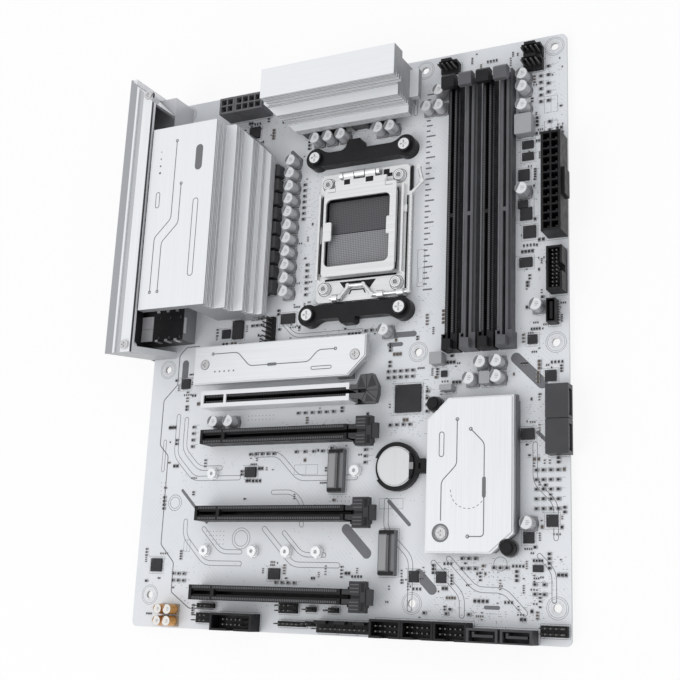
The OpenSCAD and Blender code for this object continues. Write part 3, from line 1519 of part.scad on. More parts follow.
module audio_capacitors() {
    color([0.8, 0.55, 0.2]) on_board()
        for (x = [21.4, 27.6]) for (y = [3.5, 9.6]) capacitor([x, y], can_r - 0.6);
}

// A moulded choke: a square body with rounded corners on two foot plates.
module choke(x, y, w, d) {
    translate([x, y, 0]) {
        linear_extrude(choke_h) rounded_rect(w, d, 0.6);
        for (s = [0.6, w - 1.8]) translate([s, -0.4, 0]) cube([1.2, d + 0.8, 0.5]);
    }
}

module chokes() {
    color([0.3, 0.3, 0.31]) on_board() {
        for (i = [0:choke_column_count - 1])
            choke(left_front_x - 4.6, left_sink_y + 14 + i * choke_pitch, choke_side, choke_side);
        for (x = [92.6, 107.8, 123, 138.2])
            choke(x, top_sink_rear_y - top_front_y + 0.5, 10, choke_side);
        choke(board_w - 26.1, board_h - 55, 9, 11);
        choke(173.8, board_h - 172, 6.6, 6.2);
        choke(200.4, 121.6, 5.4, 6.2);
        choke(179.6, 119.4, 6.4, 2.9);
    }
}

module chips() {
    color([0.14, 0.14, 0.15]) on_board() {
        for (c = chip_list) translate([c[0], c[1], 0]) cube([c[2], c[3], c[4]]);
        // power stages under the two heatsinks
        for (i = [0:choke_column_count - 1])
            translate([61.5, left_sink_y + 14.9 + i * choke_pitch, 0]) cube([5, 5, power_stage_h]);
        for (i = [0:5])
            translate([top_sink_x + 17 + i * 8.5, top_sink_rear_y - 17.7, 0]) cube([5, 5, power_stage_h]);
        // chipset
        translate([chipset_x + chipset_w / 2 - 11, chipset_y + chipset_len / 2 - 11, 0])
            cube([22, 22, chipset_base_z - 0.6]);
    }
}

module passives() {
    color([0.25, 0.22, 0.2]) on_board()
        for (r = passive_rows)
            for (i = [0:r[2] - 1]) for (j = [0:r[3] - 1])
                translate([r[0] + i * r[4], r[1] + j * r[5], 0]) cube([2, 1.2, 0.8]);
}

pcb();
solder_tails();
socket_housing();
socket_contacts();
socket_frame();
socket_screws();
socket_load_plate();
socket_lever();
socket_backplate();
cooler_brackets();
bracket_screws();
dimm_slots_black();
dimm_slots_grey();
dimm_latch_1();
dimm_latch_2();
dimm_latch_3();
dimm_latch_4();
pcie_slot_1();
pcie_slot_2();
pcie_slot_3();
pcie_slot_4();
pcie_slot_shield();
pcie_clip_1();
pcie_clip_2();
pcie_clip_3();
pcie_clip_4();
m2_sockets();
m2_standoffs();
m2_heatsink();
cover_screws();
vrm_heatsink_left();
vrm_heatsink_top();
thermal_pads();
heatsink_screws();
io_shroud();
io_shield();
usb_ports();
lan_port();
display_ports();
audio_jacks();
antenna_jacks();
button_switch();
flash_button();
chipset_base();
chipset_cover();
chipset_push_pins();
atx_power_socket();
cpu_power_sockets();
usb_headers();
sata_ports();
fan_headers();
box_headers();
header_pins();
battery_holder();
coin_cell();
capacitors();
audio_capacitors();
chokes();
chips();
passives();
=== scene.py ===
"""Looks of a full-size desktop motherboard: white board, silver-white heatsinks, black and grey sockets.

Places are in board millimetres: x from the rear edge, y from the bottom edge and z from the board's top face.
"""

import math
import random
from fnmatch import fnmatch
from functools import partialmethod

import bpy
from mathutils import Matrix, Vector


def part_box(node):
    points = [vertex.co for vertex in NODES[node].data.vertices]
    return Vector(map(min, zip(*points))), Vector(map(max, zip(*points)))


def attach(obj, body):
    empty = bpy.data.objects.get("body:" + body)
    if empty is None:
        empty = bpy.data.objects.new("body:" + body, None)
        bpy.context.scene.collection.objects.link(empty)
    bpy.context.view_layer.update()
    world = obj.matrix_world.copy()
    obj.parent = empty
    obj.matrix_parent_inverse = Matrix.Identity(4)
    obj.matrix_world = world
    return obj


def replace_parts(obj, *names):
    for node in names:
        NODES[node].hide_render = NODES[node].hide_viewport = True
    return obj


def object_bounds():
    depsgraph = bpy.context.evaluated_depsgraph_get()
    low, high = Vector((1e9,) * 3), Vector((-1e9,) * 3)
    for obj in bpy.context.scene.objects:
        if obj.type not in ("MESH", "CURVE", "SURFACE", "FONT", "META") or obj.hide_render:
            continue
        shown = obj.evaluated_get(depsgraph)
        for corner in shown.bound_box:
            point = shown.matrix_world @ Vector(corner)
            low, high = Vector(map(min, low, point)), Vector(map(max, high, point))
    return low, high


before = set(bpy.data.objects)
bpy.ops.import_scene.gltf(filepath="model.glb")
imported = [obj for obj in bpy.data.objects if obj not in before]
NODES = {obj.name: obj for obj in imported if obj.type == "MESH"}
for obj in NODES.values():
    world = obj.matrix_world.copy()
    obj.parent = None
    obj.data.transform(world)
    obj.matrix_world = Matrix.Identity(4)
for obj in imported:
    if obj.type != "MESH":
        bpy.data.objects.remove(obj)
cad_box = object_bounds()
MM = 0.001
board_low, board_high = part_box("pcb")
BOARD_W, BOARD_H, BOARD_T = ((b - a) / MM for a, b in zip(board_low, board_high))
PLATE_TOP = 6.9  # top face of the processor socket's load plate
FRAME_TOP = 2.4  # top face of the frame under it
INK_Z = 0.03  # print lies this far over a face, and print that crosses it a few micrometres higher
HAIR = 0.02  # other flat marks lie this far over a face, and solid ones begin this far inside it
rng = random.Random(11)


def at(x, y, z=0.0):
    """A place in board millimetres as a point of the row frame."""
    return Vector((board_low.x + x * MM, board_low.y + y * MM, board_high.z + z * MM))


def node_box(name):
    """A CAD node's lowest and highest corner in board millimetres."""
    return tuple((corner - at(0, 0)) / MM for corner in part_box(name))


# ---------------------------------------------------------------- shapes

class Shape:
    """Faces gathered in board millimetres, which become one object that rides on a CAD body."""

    def __init__(self, name, material, body="board", slot="board_laminate"):
        self.name, self.material, self.body, self.slot_name = name, material, body, slot
        self.points, self.faces, self.paints = [], [], []

    def add(self, points, faces, material=None):
        start = len(self.points)
        self.points += [tuple(p) for p in points]
        self.faces += [[start + i for i in face] for face in faces]
        self.paints += [material or self.material] * len(faces)

    def face(self, points, material=None):
        self.add(points, [range(len(points))], material)

    def flat(self, outline, z, material=None):
        self.face([(x, y, z) for x, y in outline], material)

    def rect(self, x0, y0, x1, y1, z, material=None):
        self.flat([(x0, y0), (x1, y0), (x1, y1), (x0, y1)], z, material)

    def prism(self, outline, z0, z1, material=None):
        """An upright prism over an anticlockwise outline."""
        n = len(outline)
        ends = [range(n)[::-1], range(n, 2 * n)]
        sides = [(i, (i + 1) % n, n + (i + 1) % n, n + i) for i in range(n)]
        self.add([(x, y, z) for z in (z0, z1) for x, y in outline], ends + sides, material)

    def box(self, low, high, material=None):
        (x0, y0, z0), (x1, y1, z1) = low, high
        self.prism([(x0, y0), (x1, y0), (x1, y1), (x0, y1)], z0, z1, material)

    def ring(self, x, y, z, r_in, r_out, material=None, n=48):
        """A flat ring, or a dot where the inner radius is 0."""
        outer, inner = circle(x, y, r_out, n), circle(x, y, r_in, n)
        for i in range(n):
            self.flat([inner[i], outer[i], outer[i + 1], inner[i + 1]], z, material)

    def line(self, points, width, z, material=None, loop=False):
        """A flat line of even width with mitred joints. A loop joins its last point to its first."""
        n = len(points)
        left, right = [], []
        for i, p in enumerate(points):
            before = points[i - 1] if i or loop else p
            after = points[(i + 1) % n] if i + 1 < n or loop else p
            a = direction(before, after)
            b = a if before is p else direction(before, p)
            normal = Vector((-a.y, a.x))
            spread = width / 2 / max(0.5, abs(normal.dot(Vector((-b.y, b.x)))))
            left.append((p[0] + normal.x * spread, p[1] + normal.y * spread))
            right.append((p[0] - normal.x * spread, p[1] - normal.y * spread))
        for i in range(n if loop else n - 1):
            j = (i + 1) % n
            self.flat([right[i], right[j], left[j], left[i]], z, material)

    def done(self, bevel=0.0):
        mesh = bpy.data.meshes.new(self.name)
        mesh.from_pydata([at(*p) for p in self.points], [], self.faces)
        used = list(dict.fromkeys(self.paints))
        for material in used:
            mesh.materials.append(material)
        for polygon, paint in zip(mesh.polygons, self.paints):
            polygon.material_index = used.index(paint)
        mesh.update()
        piece = bpy.data.objects.new(self.name, mesh)
        bpy.context.scene.collection.objects.link(piece)
        if bevel:
            add_bevel(piece, bevel)
        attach(piece, self.body)
        return piece


def direction(a, b):
    d = Vector((b[0] - a[0], b[1] - a[1]))
    return d.normalized() if d.length > 1e-9 else Vector((1, 0))


def arc_points(x, y, r, start, end, n):
    angles = [math.radians(start + (end - start) * i / n) for i in range(n + 1)]
    return [(x + r * math.cos(a), y + r * math.sin(a)) for a in angles]


def circle(x, y, r, n):
    return arc_points(x, y, r, 0, 360, n)


def moved(x, y, *points):
    return [(x + px, y + py) for px, py in points]


def rounded(points, r, n=6):
    """An open line with its inner corners rounded."""
    out = [points[0]]
    for before, point, after in zip(points, points[1:], points[2:]):
        p, a, b = Vector(point), Vector(before), Vector(after)
        u, v = (a - p).normalized(), (b - p).normalized()
        reach = min(r, (a - p).length / 2, (b - p).length / 2)
        start, end = p + u * reach, p + v * reach
        for k in range(n + 1):
            t = k / n
            q = start * (1 - t) ** 2 + p * 2 * t * (1 - t) + end * t**2
            out.append((q.x, q.y))
    return out + [points[-1]]


def track_outline(path, width):
    """The outline of a band of one width along a path, with round ends."""
    left, right = [], []
    for i, (x, y) in enumerate(path):
        dx, dy = direction(path[max(i - 1, 0)], path[min(i + 1, len(path) - 1)])
        left.append((x - dy * width / 2, y + dx * width / 2))
        right.append((x + dy * width / 2, y - dx * width / 2))
    caps = []
    for end, other in ((path[-1], path[-2]), (path[0], path[1])):
        dx, dy = direction(other, end)
        a = math.degrees(math.atan2(dy, dx))
        caps.append(arc_points(*end, width / 2, a + 80, a - 80, 6))
    return left + caps[0] + right[::-1] + caps[1]


def pill(x, y, length, width, angle=0.0, n=10):
    """Outline of a bar with round ends, centred on a point."""
    half, r = (length - width) / 2, width / 2
    outline = arc_points(half, 0, r, -90, 90, n) + arc_points(-half, 0, r, 90, 270, n)
    c, s = math.cos(math.radians(angle)), math.sin(math.radians(angle))
    return [(x + px * c - py * s, y + px * s + py * c) for px, py in outline]


def mirrored(centre, side, near, far):
    """The lower and the upper end of a span on one side (-1 or 1) of a centre line."""
    return sorted((centre + side * near, centre + side * far))


def add_bevel(piece, width_mm):
    mod = piece.modifiers.new("edges", "BEVEL")
    mod.width = width_mm * MM
    mod.segments = 2
    mod.limit_method = "ANGLE"
    mod.angle_limit = math.radians(40)


# ---------------------------------------------------------------- materials

ALONG = {"X": (0.02, 1, 1), "Y": (1, 0.02, 1), None: (1, 1, 1)}  # noise stretched into streaks along an axis
MOST = (0.3, 0.7)  # most of a noise's values lie in here
WHOLE = (0.0, 1.0)
SQUARE = 0.7  # a face counts as square to an axis from this share of its normal


class Value:
    """An output of a node. Arithmetic and comparisons, which give 1 or 0, add math nodes to its tree."""

    def __init__(self, nodes, output):
        self.nodes, self.output = nodes, output

    def math(self, operation, other=None):
        inputs = {0: self} if other is None else {0: self, 1: other}
        return self.nodes.node("Math", inputs, operation=operation)

    __add__ = partialmethod(math, "ADD")
    __sub__ = partialmethod(math, "SUBTRACT")
    __mul__ = partialmethod(math, "MULTIPLY")
    __truediv__ = partialmethod(math, "DIVIDE")
    __pow__ = partialmethod(math, "POWER")
    __gt__ = partialmethod(math, "GREATER_THAN")
    __lt__ = partialmethod(math, "LESS_THAN")
    __abs__ = partialmethod(math, "ABSOLUTE")
    fract = partialmethod(math, "FRACT")
    larger = partialmethod(math, "MAXIMUM")

    def between(self, low, high):
        """1 between two values and 0 elsewhere."""
        return (self > low) * (self < high)


class Nodes:
    """A node tree, with short calls for the nodes used most."""

    def __init__(self, tree):
        self.tree = tree

    def put(self, value, socket):
        """Links a value to a socket, or sets the socket to a number, a vector or a colour."""
        if isinstance(value, Value):
            self.tree.links.new(value.output, socket)
        else:
            socket.default_value = (*value, 1) if socket.type == "RGBA" else value

    def node(self, kind, inputs, output=0, **settings):
        """Makes a node and returns one of its outputs. Inputs and outputs go by name or by number."""
        made = self.tree.nodes.new(f"ShaderNode{kind}")
        for name, value in settings.items():
            setattr(made, name, value)
        for name, value in inputs.items():
            self.put(value, made.inputs[name])
        return Value(self, made.outputs[output])

    def whiten(self, shader, white, share, out):
        """Mixes a white shader over another for what the camera, mirrors and glass see."""
        camera, glossy, through = (
            self.node("LightPath", {}, f"Is {ray} Ray") for ray in ("Camera", "Glossy", "Transmission")
        )
        seen = camera.larger(glossy).larger(through)
        bright = self.node(white, {"Color": (1, 1, 1), "Strength": 1.0})
        mixed = self.node("MixShader", {0: seen * share, 1: Value(self, shader.outputs[0]), 2: bright})
        self.put(mixed, self.tree.nodes[out].inputs["Surface"])


class Paint(Nodes):
    """A procedural material."""

    def __init__(self, name, color, roughness=0.5, metallic=0.0, specular=0.5):
        self.material = bpy.data.materials.new(name)
        self.material.use_nodes = True
        super().__init__(self.material.node_tree)
        self.shader = self.tree.nodes["Principled BSDF"]
        self.feed(color, "Base Color")
        self.feed(roughness, "Roughness")
        self.feed(metallic, "Metallic")
        self.feed(specular, "Specular IOR Level")
        self.material.diffuse_color = (*color, 1)
        self.place = self.node("TexCoord", {}, "Object")

    def feed(self, value, socket):
        self.put(value, self.shader.inputs[socket])

    def done(self, color, roughness, height, strength, depth=0.00003):
        """Feeds the colour, the roughness and a bump of a depth in metres, and returns the material."""
        self.feed(color, "Base Color")
        self.feed(roughness, "Roughness")
        self.feed(self.node("Bump", {"Strength": strength, "Distance": depth, "Height": height}), "Normal")
        return self.material

    def noise(self, scale, detail, stretch=ALONG[None]):
        """Noise of a scale per metre, stretched along the axis with the smallest factor."""
        scaled = self.node("Mapping", {"Vector": self.place, "Scale": tuple(scale * s for s in stretch)})
        return self.node("TexNoise", {"Scale": 1.0, "Detail": detail, "Vector": scaled}, "Fac")

    def ramp(self, source, low=0.0, high=1.0, span=MOST):
        """Runs from low to high, and stays there, as the source runs through the span."""
        ends = {"From Min": span[0], "From Max": span[1], "To Min": low, "To Max": high}
        return self.node("MapRange", {**ends, "Value": source})

    def mix(self, factor, a, b):
        """Colour a where the factor is 0 and colour b where it is 1."""
        return self.node("Mix", {0: factor, 6: a, 7: b}, 2, data_type="RGBA")

    def axis(self, name):
        """One coordinate of the place, in board millimetres."""
        place = self.node("SeparateXYZ", {0: self.place}, name)
        return (place - getattr(at(0, 0), name.lower())) * (1 / MM)

    def facing(self, name):
        """The surface normal's share along an axis."""
        normal = self.node("NewGeometry", {}, "Normal")
        return self.node("SeparateXYZ", {0: normal}, name)


def tint(color, factor, lift=0.0):
    return tuple(min(1, c * factor + lift) for c in color)


def solder_mask():
    p = Paint("white_solder_mask", (0.70, 0.71, 0.725), specular=0.35)
    tone = p.mix(p.ramp(p.noise(18, 4), span=(0.35, 0.65)), (0.69, 0.70, 0.715), (0.73, 0.737, 0.75))
    # copper shows through the mask as slightly darker diagonal tracks
    wave = p.node("TexWave", {"Scale": 260.0, "Distortion": 0.0, "Vector": p.place}, "Fac",
                  wave_type="BANDS", bands_direction="DIAGONAL")
    tracks = (wave > 0.72) * (p.noise(60, 2) > 0.58)
    tone = p.mix(tracks * 0.22, tone, (0.56, 0.57, 0.58))
    tone = p.mix(abs(p.facing("Z")) < 0.5, tone, (0.60, 0.61, 0.59))
    return p.done(tone, p.ramp(p.noise(900, 2), 0.44, 0.58, WHOLE), tracks * 0.6 + p.noise(2600, 2), 0.12)


def ink(name, color):
    p = Paint(name, color, roughness=0.55)
    tone = p.mix(p.ramp(p.noise(1500, 2)), tint(color, 0.94), tint(color, 1.06))
    return p.done(tone, 0.55, p.noise(4000, 1), 0.05, 0.00002)


def plastic(name, color, roughness=0.42, grain=1600, wear=0.5):
    """Moulded plastic: fine grain, a slow drift of tone and slightly shinier patches."""
    p = Paint(name, color, roughness=roughness, specular=0.22)
    tone = p.mix(p.ramp(p.noise(90, 3)), color, tint(color, 1 + 0.3 * wear, 0.004))
    return p.done(tone, p.ramp(p.noise(300, 3), roughness - 0.08, roughness + 0.1), p.noise(grain, 2), 0.18, 0.00004)


def metal(name, color, roughness=0.3, along=None, metallic=1.0, variation=0.06, bump=0.12):
    """Brushed or drawn metal with fine streaks."""
    p = Paint(name, color, roughness=roughness, metallic=metallic)
    fine = p.noise(900, 3, ALONG[along])
    tone = p.mix(p.ramp(fine), tint(color, 1 - variation), tint(color, 1 + variation))
    blend = fine * 0.6 + p.noise(40, 3) * 0.4
    return p.done(tone, p.ramp(blend, roughness - 0.07, roughness + 0.09, (0.35, 0.65)), fine, bump)


def white_sink(name, along, lined=False):
    """Silver-white anodised aluminium, brushed along an axis: nearly white flat tops and greyer sides, which on the
    smooth covers are painted darker still as painted shade.
    """
    p = Paint(name, (0.80, 0.805, 0.815), roughness=0.42, metallic=0.15)
    fine = p.noise(1500, 3, ALONG[along])
    # shade darkens the sides of the smooth covers as painted shade
    low, shade = ((0.77, 0.775, 0.785), 1.0) if lined else ((0.745, 0.75, 0.76), 0.72)
    top = p.mix(p.ramp(fine), low, (0.80, 0.805, 0.815))
    side = p.mix(p.ramp(p.noise(700, 3, ALONG[along])),
                 tint((0.60, 0.605, 0.615), shade), tint((0.74, 0.745, 0.755), shade))
    if lined:
        # grooves along the steps painted dark as the shade inside them, and the end faces painted dark with darker
        # lines as painted shadow
        groove_shade = (p.axis("Z") / 1.45).fract() < 0.38
        step = abs(p.facing("X" if along == "Y" else "Y")) > SQUARE
        ends = [corner.y for corner in node_box("vrm_heatsink_left")]
        # depth makes the grooves' painted shade strongest at the left heatsink's lower end and weakest at its upper
        # end: a painted shade gradient
        depth = p.ramp(p.axis("Y"), 0.95, 0.55, ends) if along == "Y" else 0.92
        painted_end_shadow = abs(p.facing(along)) > SQUARE
        side = p.mix(groove_shade * step * depth, side, (0.20, 0.20, 0.21))
        side = p.mix(painted_end_shadow * 0.9, side, p.mix(groove_shade, (0.33, 0.335, 0.345), (0.07, 0.07, 0.075)))
    rough = p.ramp(fine * 0.5 + p.noise(30, 2) * 0.5, 0.3, 0.48)
    return p.done(p.mix(p.facing("Z") > SQUARE, side, top), rough, fine, 0.1)


def shroud_paint():
    """The rear cover: a white flat with two grey bands sunk along its outer edge, a painted shadow along its edge
    beside the heatsink and painted shade on its lower end wall.
    """
    p = Paint("shroud_silver", (0.78, 0.785, 0.795), roughness=0.42, metallic=0.15)
    x, z = p.axis("X"), p.axis("Z")
    low, high = node_box("io_shroud")
    fine = p.noise(1500, 3, ALONG["Y"])
    tone = p.mix(p.ramp(fine), (0.75, 0.755, 0.765), (0.81, 0.815, 0.825))
    top = z > high.z - 1.2
    tone = p.mix(top * x.between(-5, 2.9), tone, (0.34, 0.345, 0.36))
    tone = p.mix(top * x.between(4.45, 8.25), tone, (0.47, 0.475, 0.49))
    # painted shadow along the edge beside the heatsink, standing in for the shaded gap between the cover and the
    # heatsink
    tone = p.mix(top * (x > high.x - 0.5), tone, (0.045, 0.045, 0.048))
    # the folded end wall below, painted dark as painted shade and drawn in fine darker lines
    wall = (p.facing("Y") < -SQUARE) * (p.axis("Y") < low.y + 8)
    bands = (z / 2.3).fract() < 0.35
    tone = p.mix(wall, tone, p.mix(bands, (0.47, 0.475, 0.485), (0.15, 0.152, 0.16)))
    return p.done(tone, p.ramp(fine, 0.3, 0.45), fine, 0.1)


def contact_field():
    """Spring contacts every millimetre: bright points on a dark upper half and on a lighter lower half."""
    p = Paint("contact_grid", (0.12, 0.12, 0.125), roughness=0.45)
    low, high = node_box("socket_contacts")
    x, y = p.axis("X"), p.axis("Y")
    dot = abs(x.fract() - 0.5) ** 2 + abs(y.fract() - 0.5) ** 2 < 0.075
    upper = y > (low.y + high.y) / 2
    ground = p.mix(upper, (0.17, 0.17, 0.175), (0.055, 0.055, 0.06))
    points = p.mix(upper, (0.36, 0.36, 0.37), (0.115, 0.115, 0.12))
    return p.done(p.mix(dot, ground, points), p.ramp(dot, 0.6, 0.35, WHOLE), dot, 0.5, 0.0001)


def can_paint(name, color, base_color, wall_color):
    """A capacitor can: a bright drawn top, a darker wall and a moulded base. The silver can's darker wall is painted
    shade.
    """
    p = Paint(name, color, roughness=0.34, metallic=0.3)
    base = p.axis("Z") < 1.25
    fine = p.noise(1800, 2, (1, 1, 0.05))
    top = p.mix(p.ramp(fine), tint(color, 0.95), color)
    wall = p.mix(p.ramp(fine), tint(wall_color, 0.86), tint(wall_color, 1.14))
    p.feed(p.ramp(base, 0.3, 0.0, WHOLE), "Metallic")
    tone = p.mix(base, p.mix(p.facing("Z") < 0.5, top, wall), base_color)
    return p.done(tone, p.ramp(base, 0.32, 0.5, WHOLE), fine, 0.08)


def choke_paint():
    """Pressed-powder chokes: near black beside the heatsinks, pale grey near the memory slots."""
    p = Paint("choke_body", (0.03, 0.03, 0.032), roughness=0.5)
    speck = p.ramp(p.noise(2600, 3), span=(0.35, 0.65))
    dark = p.mix(speck, (0.05, 0.05, 0.053), (0.075, 0.075, 0.079))
    pale = p.mix(speck, (0.315, 0.315, 0.32), (0.345, 0.345, 0.35))
    tone = p.mix(p.axis("X") > 170, dark, pale)
    return p.done(tone, p.ramp(p.noise(500, 3), 0.42, 0.6), p.noise(2600, 3), 0.3, 0.00005)


def jack_paint():
    """The audio block: a black top film, dark sides and a grey inner end."""
    p = Paint("audio_block", (0.03, 0.03, 0.032), roughness=0.4)
    grain = p.ramp(p.noise(1500, 2), span=(0.35, 0.65))
    film = p.mix(grain, (0.008, 0.008, 0.009), (0.016, 0.016, 0.018))
    side = p.mix(grain, (0.028, 0.028, 0.03), (0.045, 0.045, 0.048))
    tone = p.mix(p.facing("X") > SQUARE, p.mix(p.facing("Z") > 0.5, side, film), (0.24, 0.24, 0.25))
    return p.done(tone, p.ramp(p.noise(300, 3), 0.34, 0.5), grain, 0.12, 0.00004)


def collar_paint():
    """The four cooler screws: nickel heads in black collars."""
    p = Paint("collared_nickel", (0.76, 0.765, 0.77), roughness=0.36, metallic=0.5)
    low, high = node_box("bracket_screws")
    head_r, bright_r = 3.9, 3.1

    def aside(name, a, b):
        """The squared distance to the nearer row of screws."""
        return (abs(p.axis(name) - (a + b) / 2) - ((b - a) / 2 - head_r)) ** 2

    collar = aside("X", low.x, high.x) + aside("Y", low.y, high.y) > bright_r ** 2
    grain = p.ramp(p.noise(900, 3))
    tone = p.mix(collar, p.mix(grain, (0.72, 0.725, 0.73), (0.79, 0.795, 0.80)), (0.02, 0.02, 0.022))
    return p.done(tone, p.ramp(grain, 0.3, 0.42, WHOLE), grain, 0.06)


INK_GREY = ink("grey_print", (0.15, 0.15, 0.16))
INK_LINE = ink("pale_grey_line", (0.19, 0.192, 0.20))
SHIELD_LINE = ink("pale_shield_print", (0.50, 0.50, 0.51))
PLATE_LINE = ink("engraved_grey", (0.15, 0.15, 0.155))
BARE_PAD = metal("tinned_pad", (0.62, 0.62, 0.64), roughness=0.45, variation=0.12, metallic=0.4)
BLACK = plastic("black_nylon", (0.007, 0.007, 0.008))
BLACK_SATIN = plastic("black_satin_nylon", (0.006, 0.006, 0.007), roughness=0.33)
RIB = plastic("slot_rib_nylon", (0.11, 0.11, 0.115))
CLIP_GREY = plastic("slot_clip_nylon", (0.032, 0.032, 0.034), roughness=0.36)
RESIN = plastic("chip_resin", (0.028, 0.028, 0.031), roughness=0.52, grain=3200)
GREY_STEEL = metal("grey_steel", (0.26, 0.26, 0.265), roughness=0.4, along="Y", metallic=0.7)
CHIP_MARK = plastic("chip_mark", (0.12, 0.12, 0.125), roughness=0.6, grain=3200)
STEEL = metal("bright_steel", (0.74, 0.745, 0.75), roughness=0.36, along="X", metallic=0.75)
NICKEL = metal("bright_nickel", (0.78, 0.785, 0.79), roughness=0.36, variation=0.05, metallic=0.5)
GOLD = metal("gold_contact", (0.70, 0.50, 0.20))
CAN_MARK = plastic("can_mark", (0.03, 0.03, 0.032), roughness=0.5)
CAN_SHADE = plastic("can_shade", (0.17, 0.17, 0.175), roughness=0.5)
CAN_BROWN = plastic("can_brown", (0.42, 0.17, 0.04), roughness=0.5)
CAN_SCORE = plastic("can_score", (0.34, 0.34, 0.345), roughness=0.5)
SOLDER = metal("solder", (0.60, 0.60, 0.62), variation=0.15)
SOLDER_DULL = metal("dull_solder", (0.30, 0.30, 0.31), roughness=0.42, variation=0.15, metallic=0.6)
CERAMIC = plastic("brown_ceramic", (0.10, 0.075, 0.055), roughness=0.4, grain=3000)
RESISTOR = plastic("black_glaze", (0.02, 0.02, 0.022), roughness=0.3, grain=3000)
# painted whiter than the part's own colour, as a painted reflection
JACK_FRONT_PAINTED_REFLECTION = plastic("pale_jack_front_painted_reflection", (0.88, 0.88, 0.89), roughness=0.4, wear=0.05)
USB_BLUE = plastic("blue_tongue", (0.02, 0.12, 0.42), roughness=0.4)
LED_GREEN = plastic("green_window", (0.25, 0.5, 0.2), roughness=0.25)
LED_AMBER = plastic("amber_window", (0.7, 0.38, 0.06), roughness=0.25)
JACK_PINK = plastic("pink_ring", (0.62, 0.20, 0.28), roughness=0.4)
JACK_GREEN = plastic("green_ring", (0.25, 0.5, 0.12), roughness=0.4)
JACK_BLUE = plastic("blue_ring", (0.12, 0.32, 0.6), roughness=0.4)

# each CAD node's material, by its name or by a pattern of names
FINISH = (
    (solder_mask(), "pcb"),
    (SOLDER, "solder_tails"),
    (BLACK, "dimm_slots_black", "dimm_latch_[13]", "pcie_slot_[1-4]", "atx_power_socket", "usb_headers",
     "fan_headers", "box_headers", "button_switch"),
    (jack_paint(), "audio_jacks"),
    (BLACK_SATIN, "cooler_brackets", "battery_holder", "chipset_push_pins", "socket_housing"),
    (plastic("socket_grey_nylon", (0.05, 0.05, 0.053)), "sata_ports"),
    (plastic("wide_clip_nylon", (0.075, 0.075, 0.078), roughness=0.36), "pcie_clip_1"),
    (CLIP_GREY, "pcie_clip_[2-4]"),
    (plastic("card_socket_nylon", (0.15, 0.15, 0.155)), "m2_sockets"),
    (plastic("power_socket_nylon", (0.13, 0.13, 0.135)), "cpu_power_sockets"),
    (plastic("grey_nylon", (0.095, 0.095, 0.1)), "dimm_slots_grey", "dimm_latch_[24]"),
    (contact_field(), "socket_contacts"),
    (STEEL, "socket_frame", "socket_load_plate"),
    (metal("white_steel_shield", (0.74, 0.74, 0.75), roughness=0.4, along="X", metallic=0.15, variation=0.03),
     "pcie_slot_shield"),
    (metal("nickelled_wire", (0.72, 0.725, 0.73), metallic=0.75), "socket_lever"),
    (metal("zinc_screw", (0.58, 0.58, 0.59), roughness=0.34, variation=0.1, metallic=0.9),
     "cover_screws", "heatsink_screws"),
    (NICKEL, "socket_screws", "m2_standoffs"),
    (collar_paint(), "bracket_screws"),
    (metal("black_painted_steel", (0.02, 0.02, 0.022), roughness=0.42, metallic=0.2, variation=0.15),
     "socket_backplate", "io_shield"),
    (white_sink("brushed_white_along_y", "Y"), "chipset_cover"),
    (white_sink("brushed_white_along_x", "X"), "m2_heatsink"),
    (white_sink("finned_white_along_y", "Y", lined=True), "vrm_heatsink_left"),
    (white_sink("finned_white_along_x", "X", lined=True), "vrm_heatsink_top"),
    (metal("grey_anodised", (0.16, 0.16, 0.17), roughness=0.42, along="Y", metallic=0.6), "chipset_base"),
    (plastic("silicone_pad", (0.22, 0.25, 0.30), roughness=0.7, grain=700), "thermal_pads"),
    (metal("tinned_shell", (0.60, 0.60, 0.62), roughness=0.36, variation=0.03, metallic=0.6, bump=0.03),
     "usb_ports", "lan_port", "display_ports"),
    (metal("gilt_brass", (0.72, 0.55, 0.26), roughness=0.27), "antenna_jacks"),
    (metal("dull_pin", (0.12, 0.12, 0.115), roughness=0.5, metallic=0.6), "header_pins"),
    (plastic("pale_button", (0.62, 0.62, 0.64), roughness=0.35), "flash_button"),
    (metal("cell_steel", (0.62, 0.625, 0.63), roughness=0.38, along="Y", metallic=0.6, variation=0.03), "coin_cell"),
    # the silver can's wall colour, darker than its top, is painted shade
    (can_paint("silver_can", (0.70, 0.705, 0.71), (0.26, 0.26, 0.27), (0.50, 0.50, 0.51)), "capacitors"),
    (can_paint("gold_can", (0.68, 0.66, 0.62), (0.34, 0.27, 0.20), (0.60, 0.29, 0.07)), "audio_capacitors"),
    (choke_paint(), "chokes"),
    (RESIN, "chips"),
    (RESISTOR, "passives"),
    (shroud_paint(), "io_shroud"),
)
# widths of edges in millimetres. Other nodes have the usual one
USUAL_BEVEL = 0.2
BEVELS = {
    0.35: ["cooler_brackets", "io_shroud", "vrm_heatsink_left", "vrm_heatsink_top", "m2_heatsink", "chipset_cover",
           "coin_cell"],
    0.1: ["chips", "cover_screws", "usb_ports", "lan_port", "display_ports", "m2_sockets", "pcb", "flash_button"],
    0.0: ["solder_tails", "button_switch", "socket_housing", "socket_contacts", "socket_lever", "heatsink_screws",
          "socket_backplate", "chipset_base", "thermal_pads", "antenna_jacks", "header_pins", "passives"],
}


def finish_nodes():
    """Gives each CAD node its material and softens its edges."""
    for name, node in NODES.items():
        material = next(paint for paint, *patterns in FINISH if any(fnmatch(name, p) for p in patterns))
        node.data.materials.clear()
        node.data.materials.append(material)
        width = next((width for width, names in BEVELS.items() if name in names), USUAL_BEVEL)
        if width:
            add_bevel(node, width)


finish_nodes()

# ---------------------------------------------------------------- what stands where

STANDOFFS = [(BOARD_W - 6.51 - dx, BOARD_H - dy) for dx in (0, 72.39, 227.33) for dy in (6.35, 163.83, 288.29)]
PARTS = {}  # boxes of each node's separate pieces
TAKEN = []  # rectangles of the board's top face that have something on them


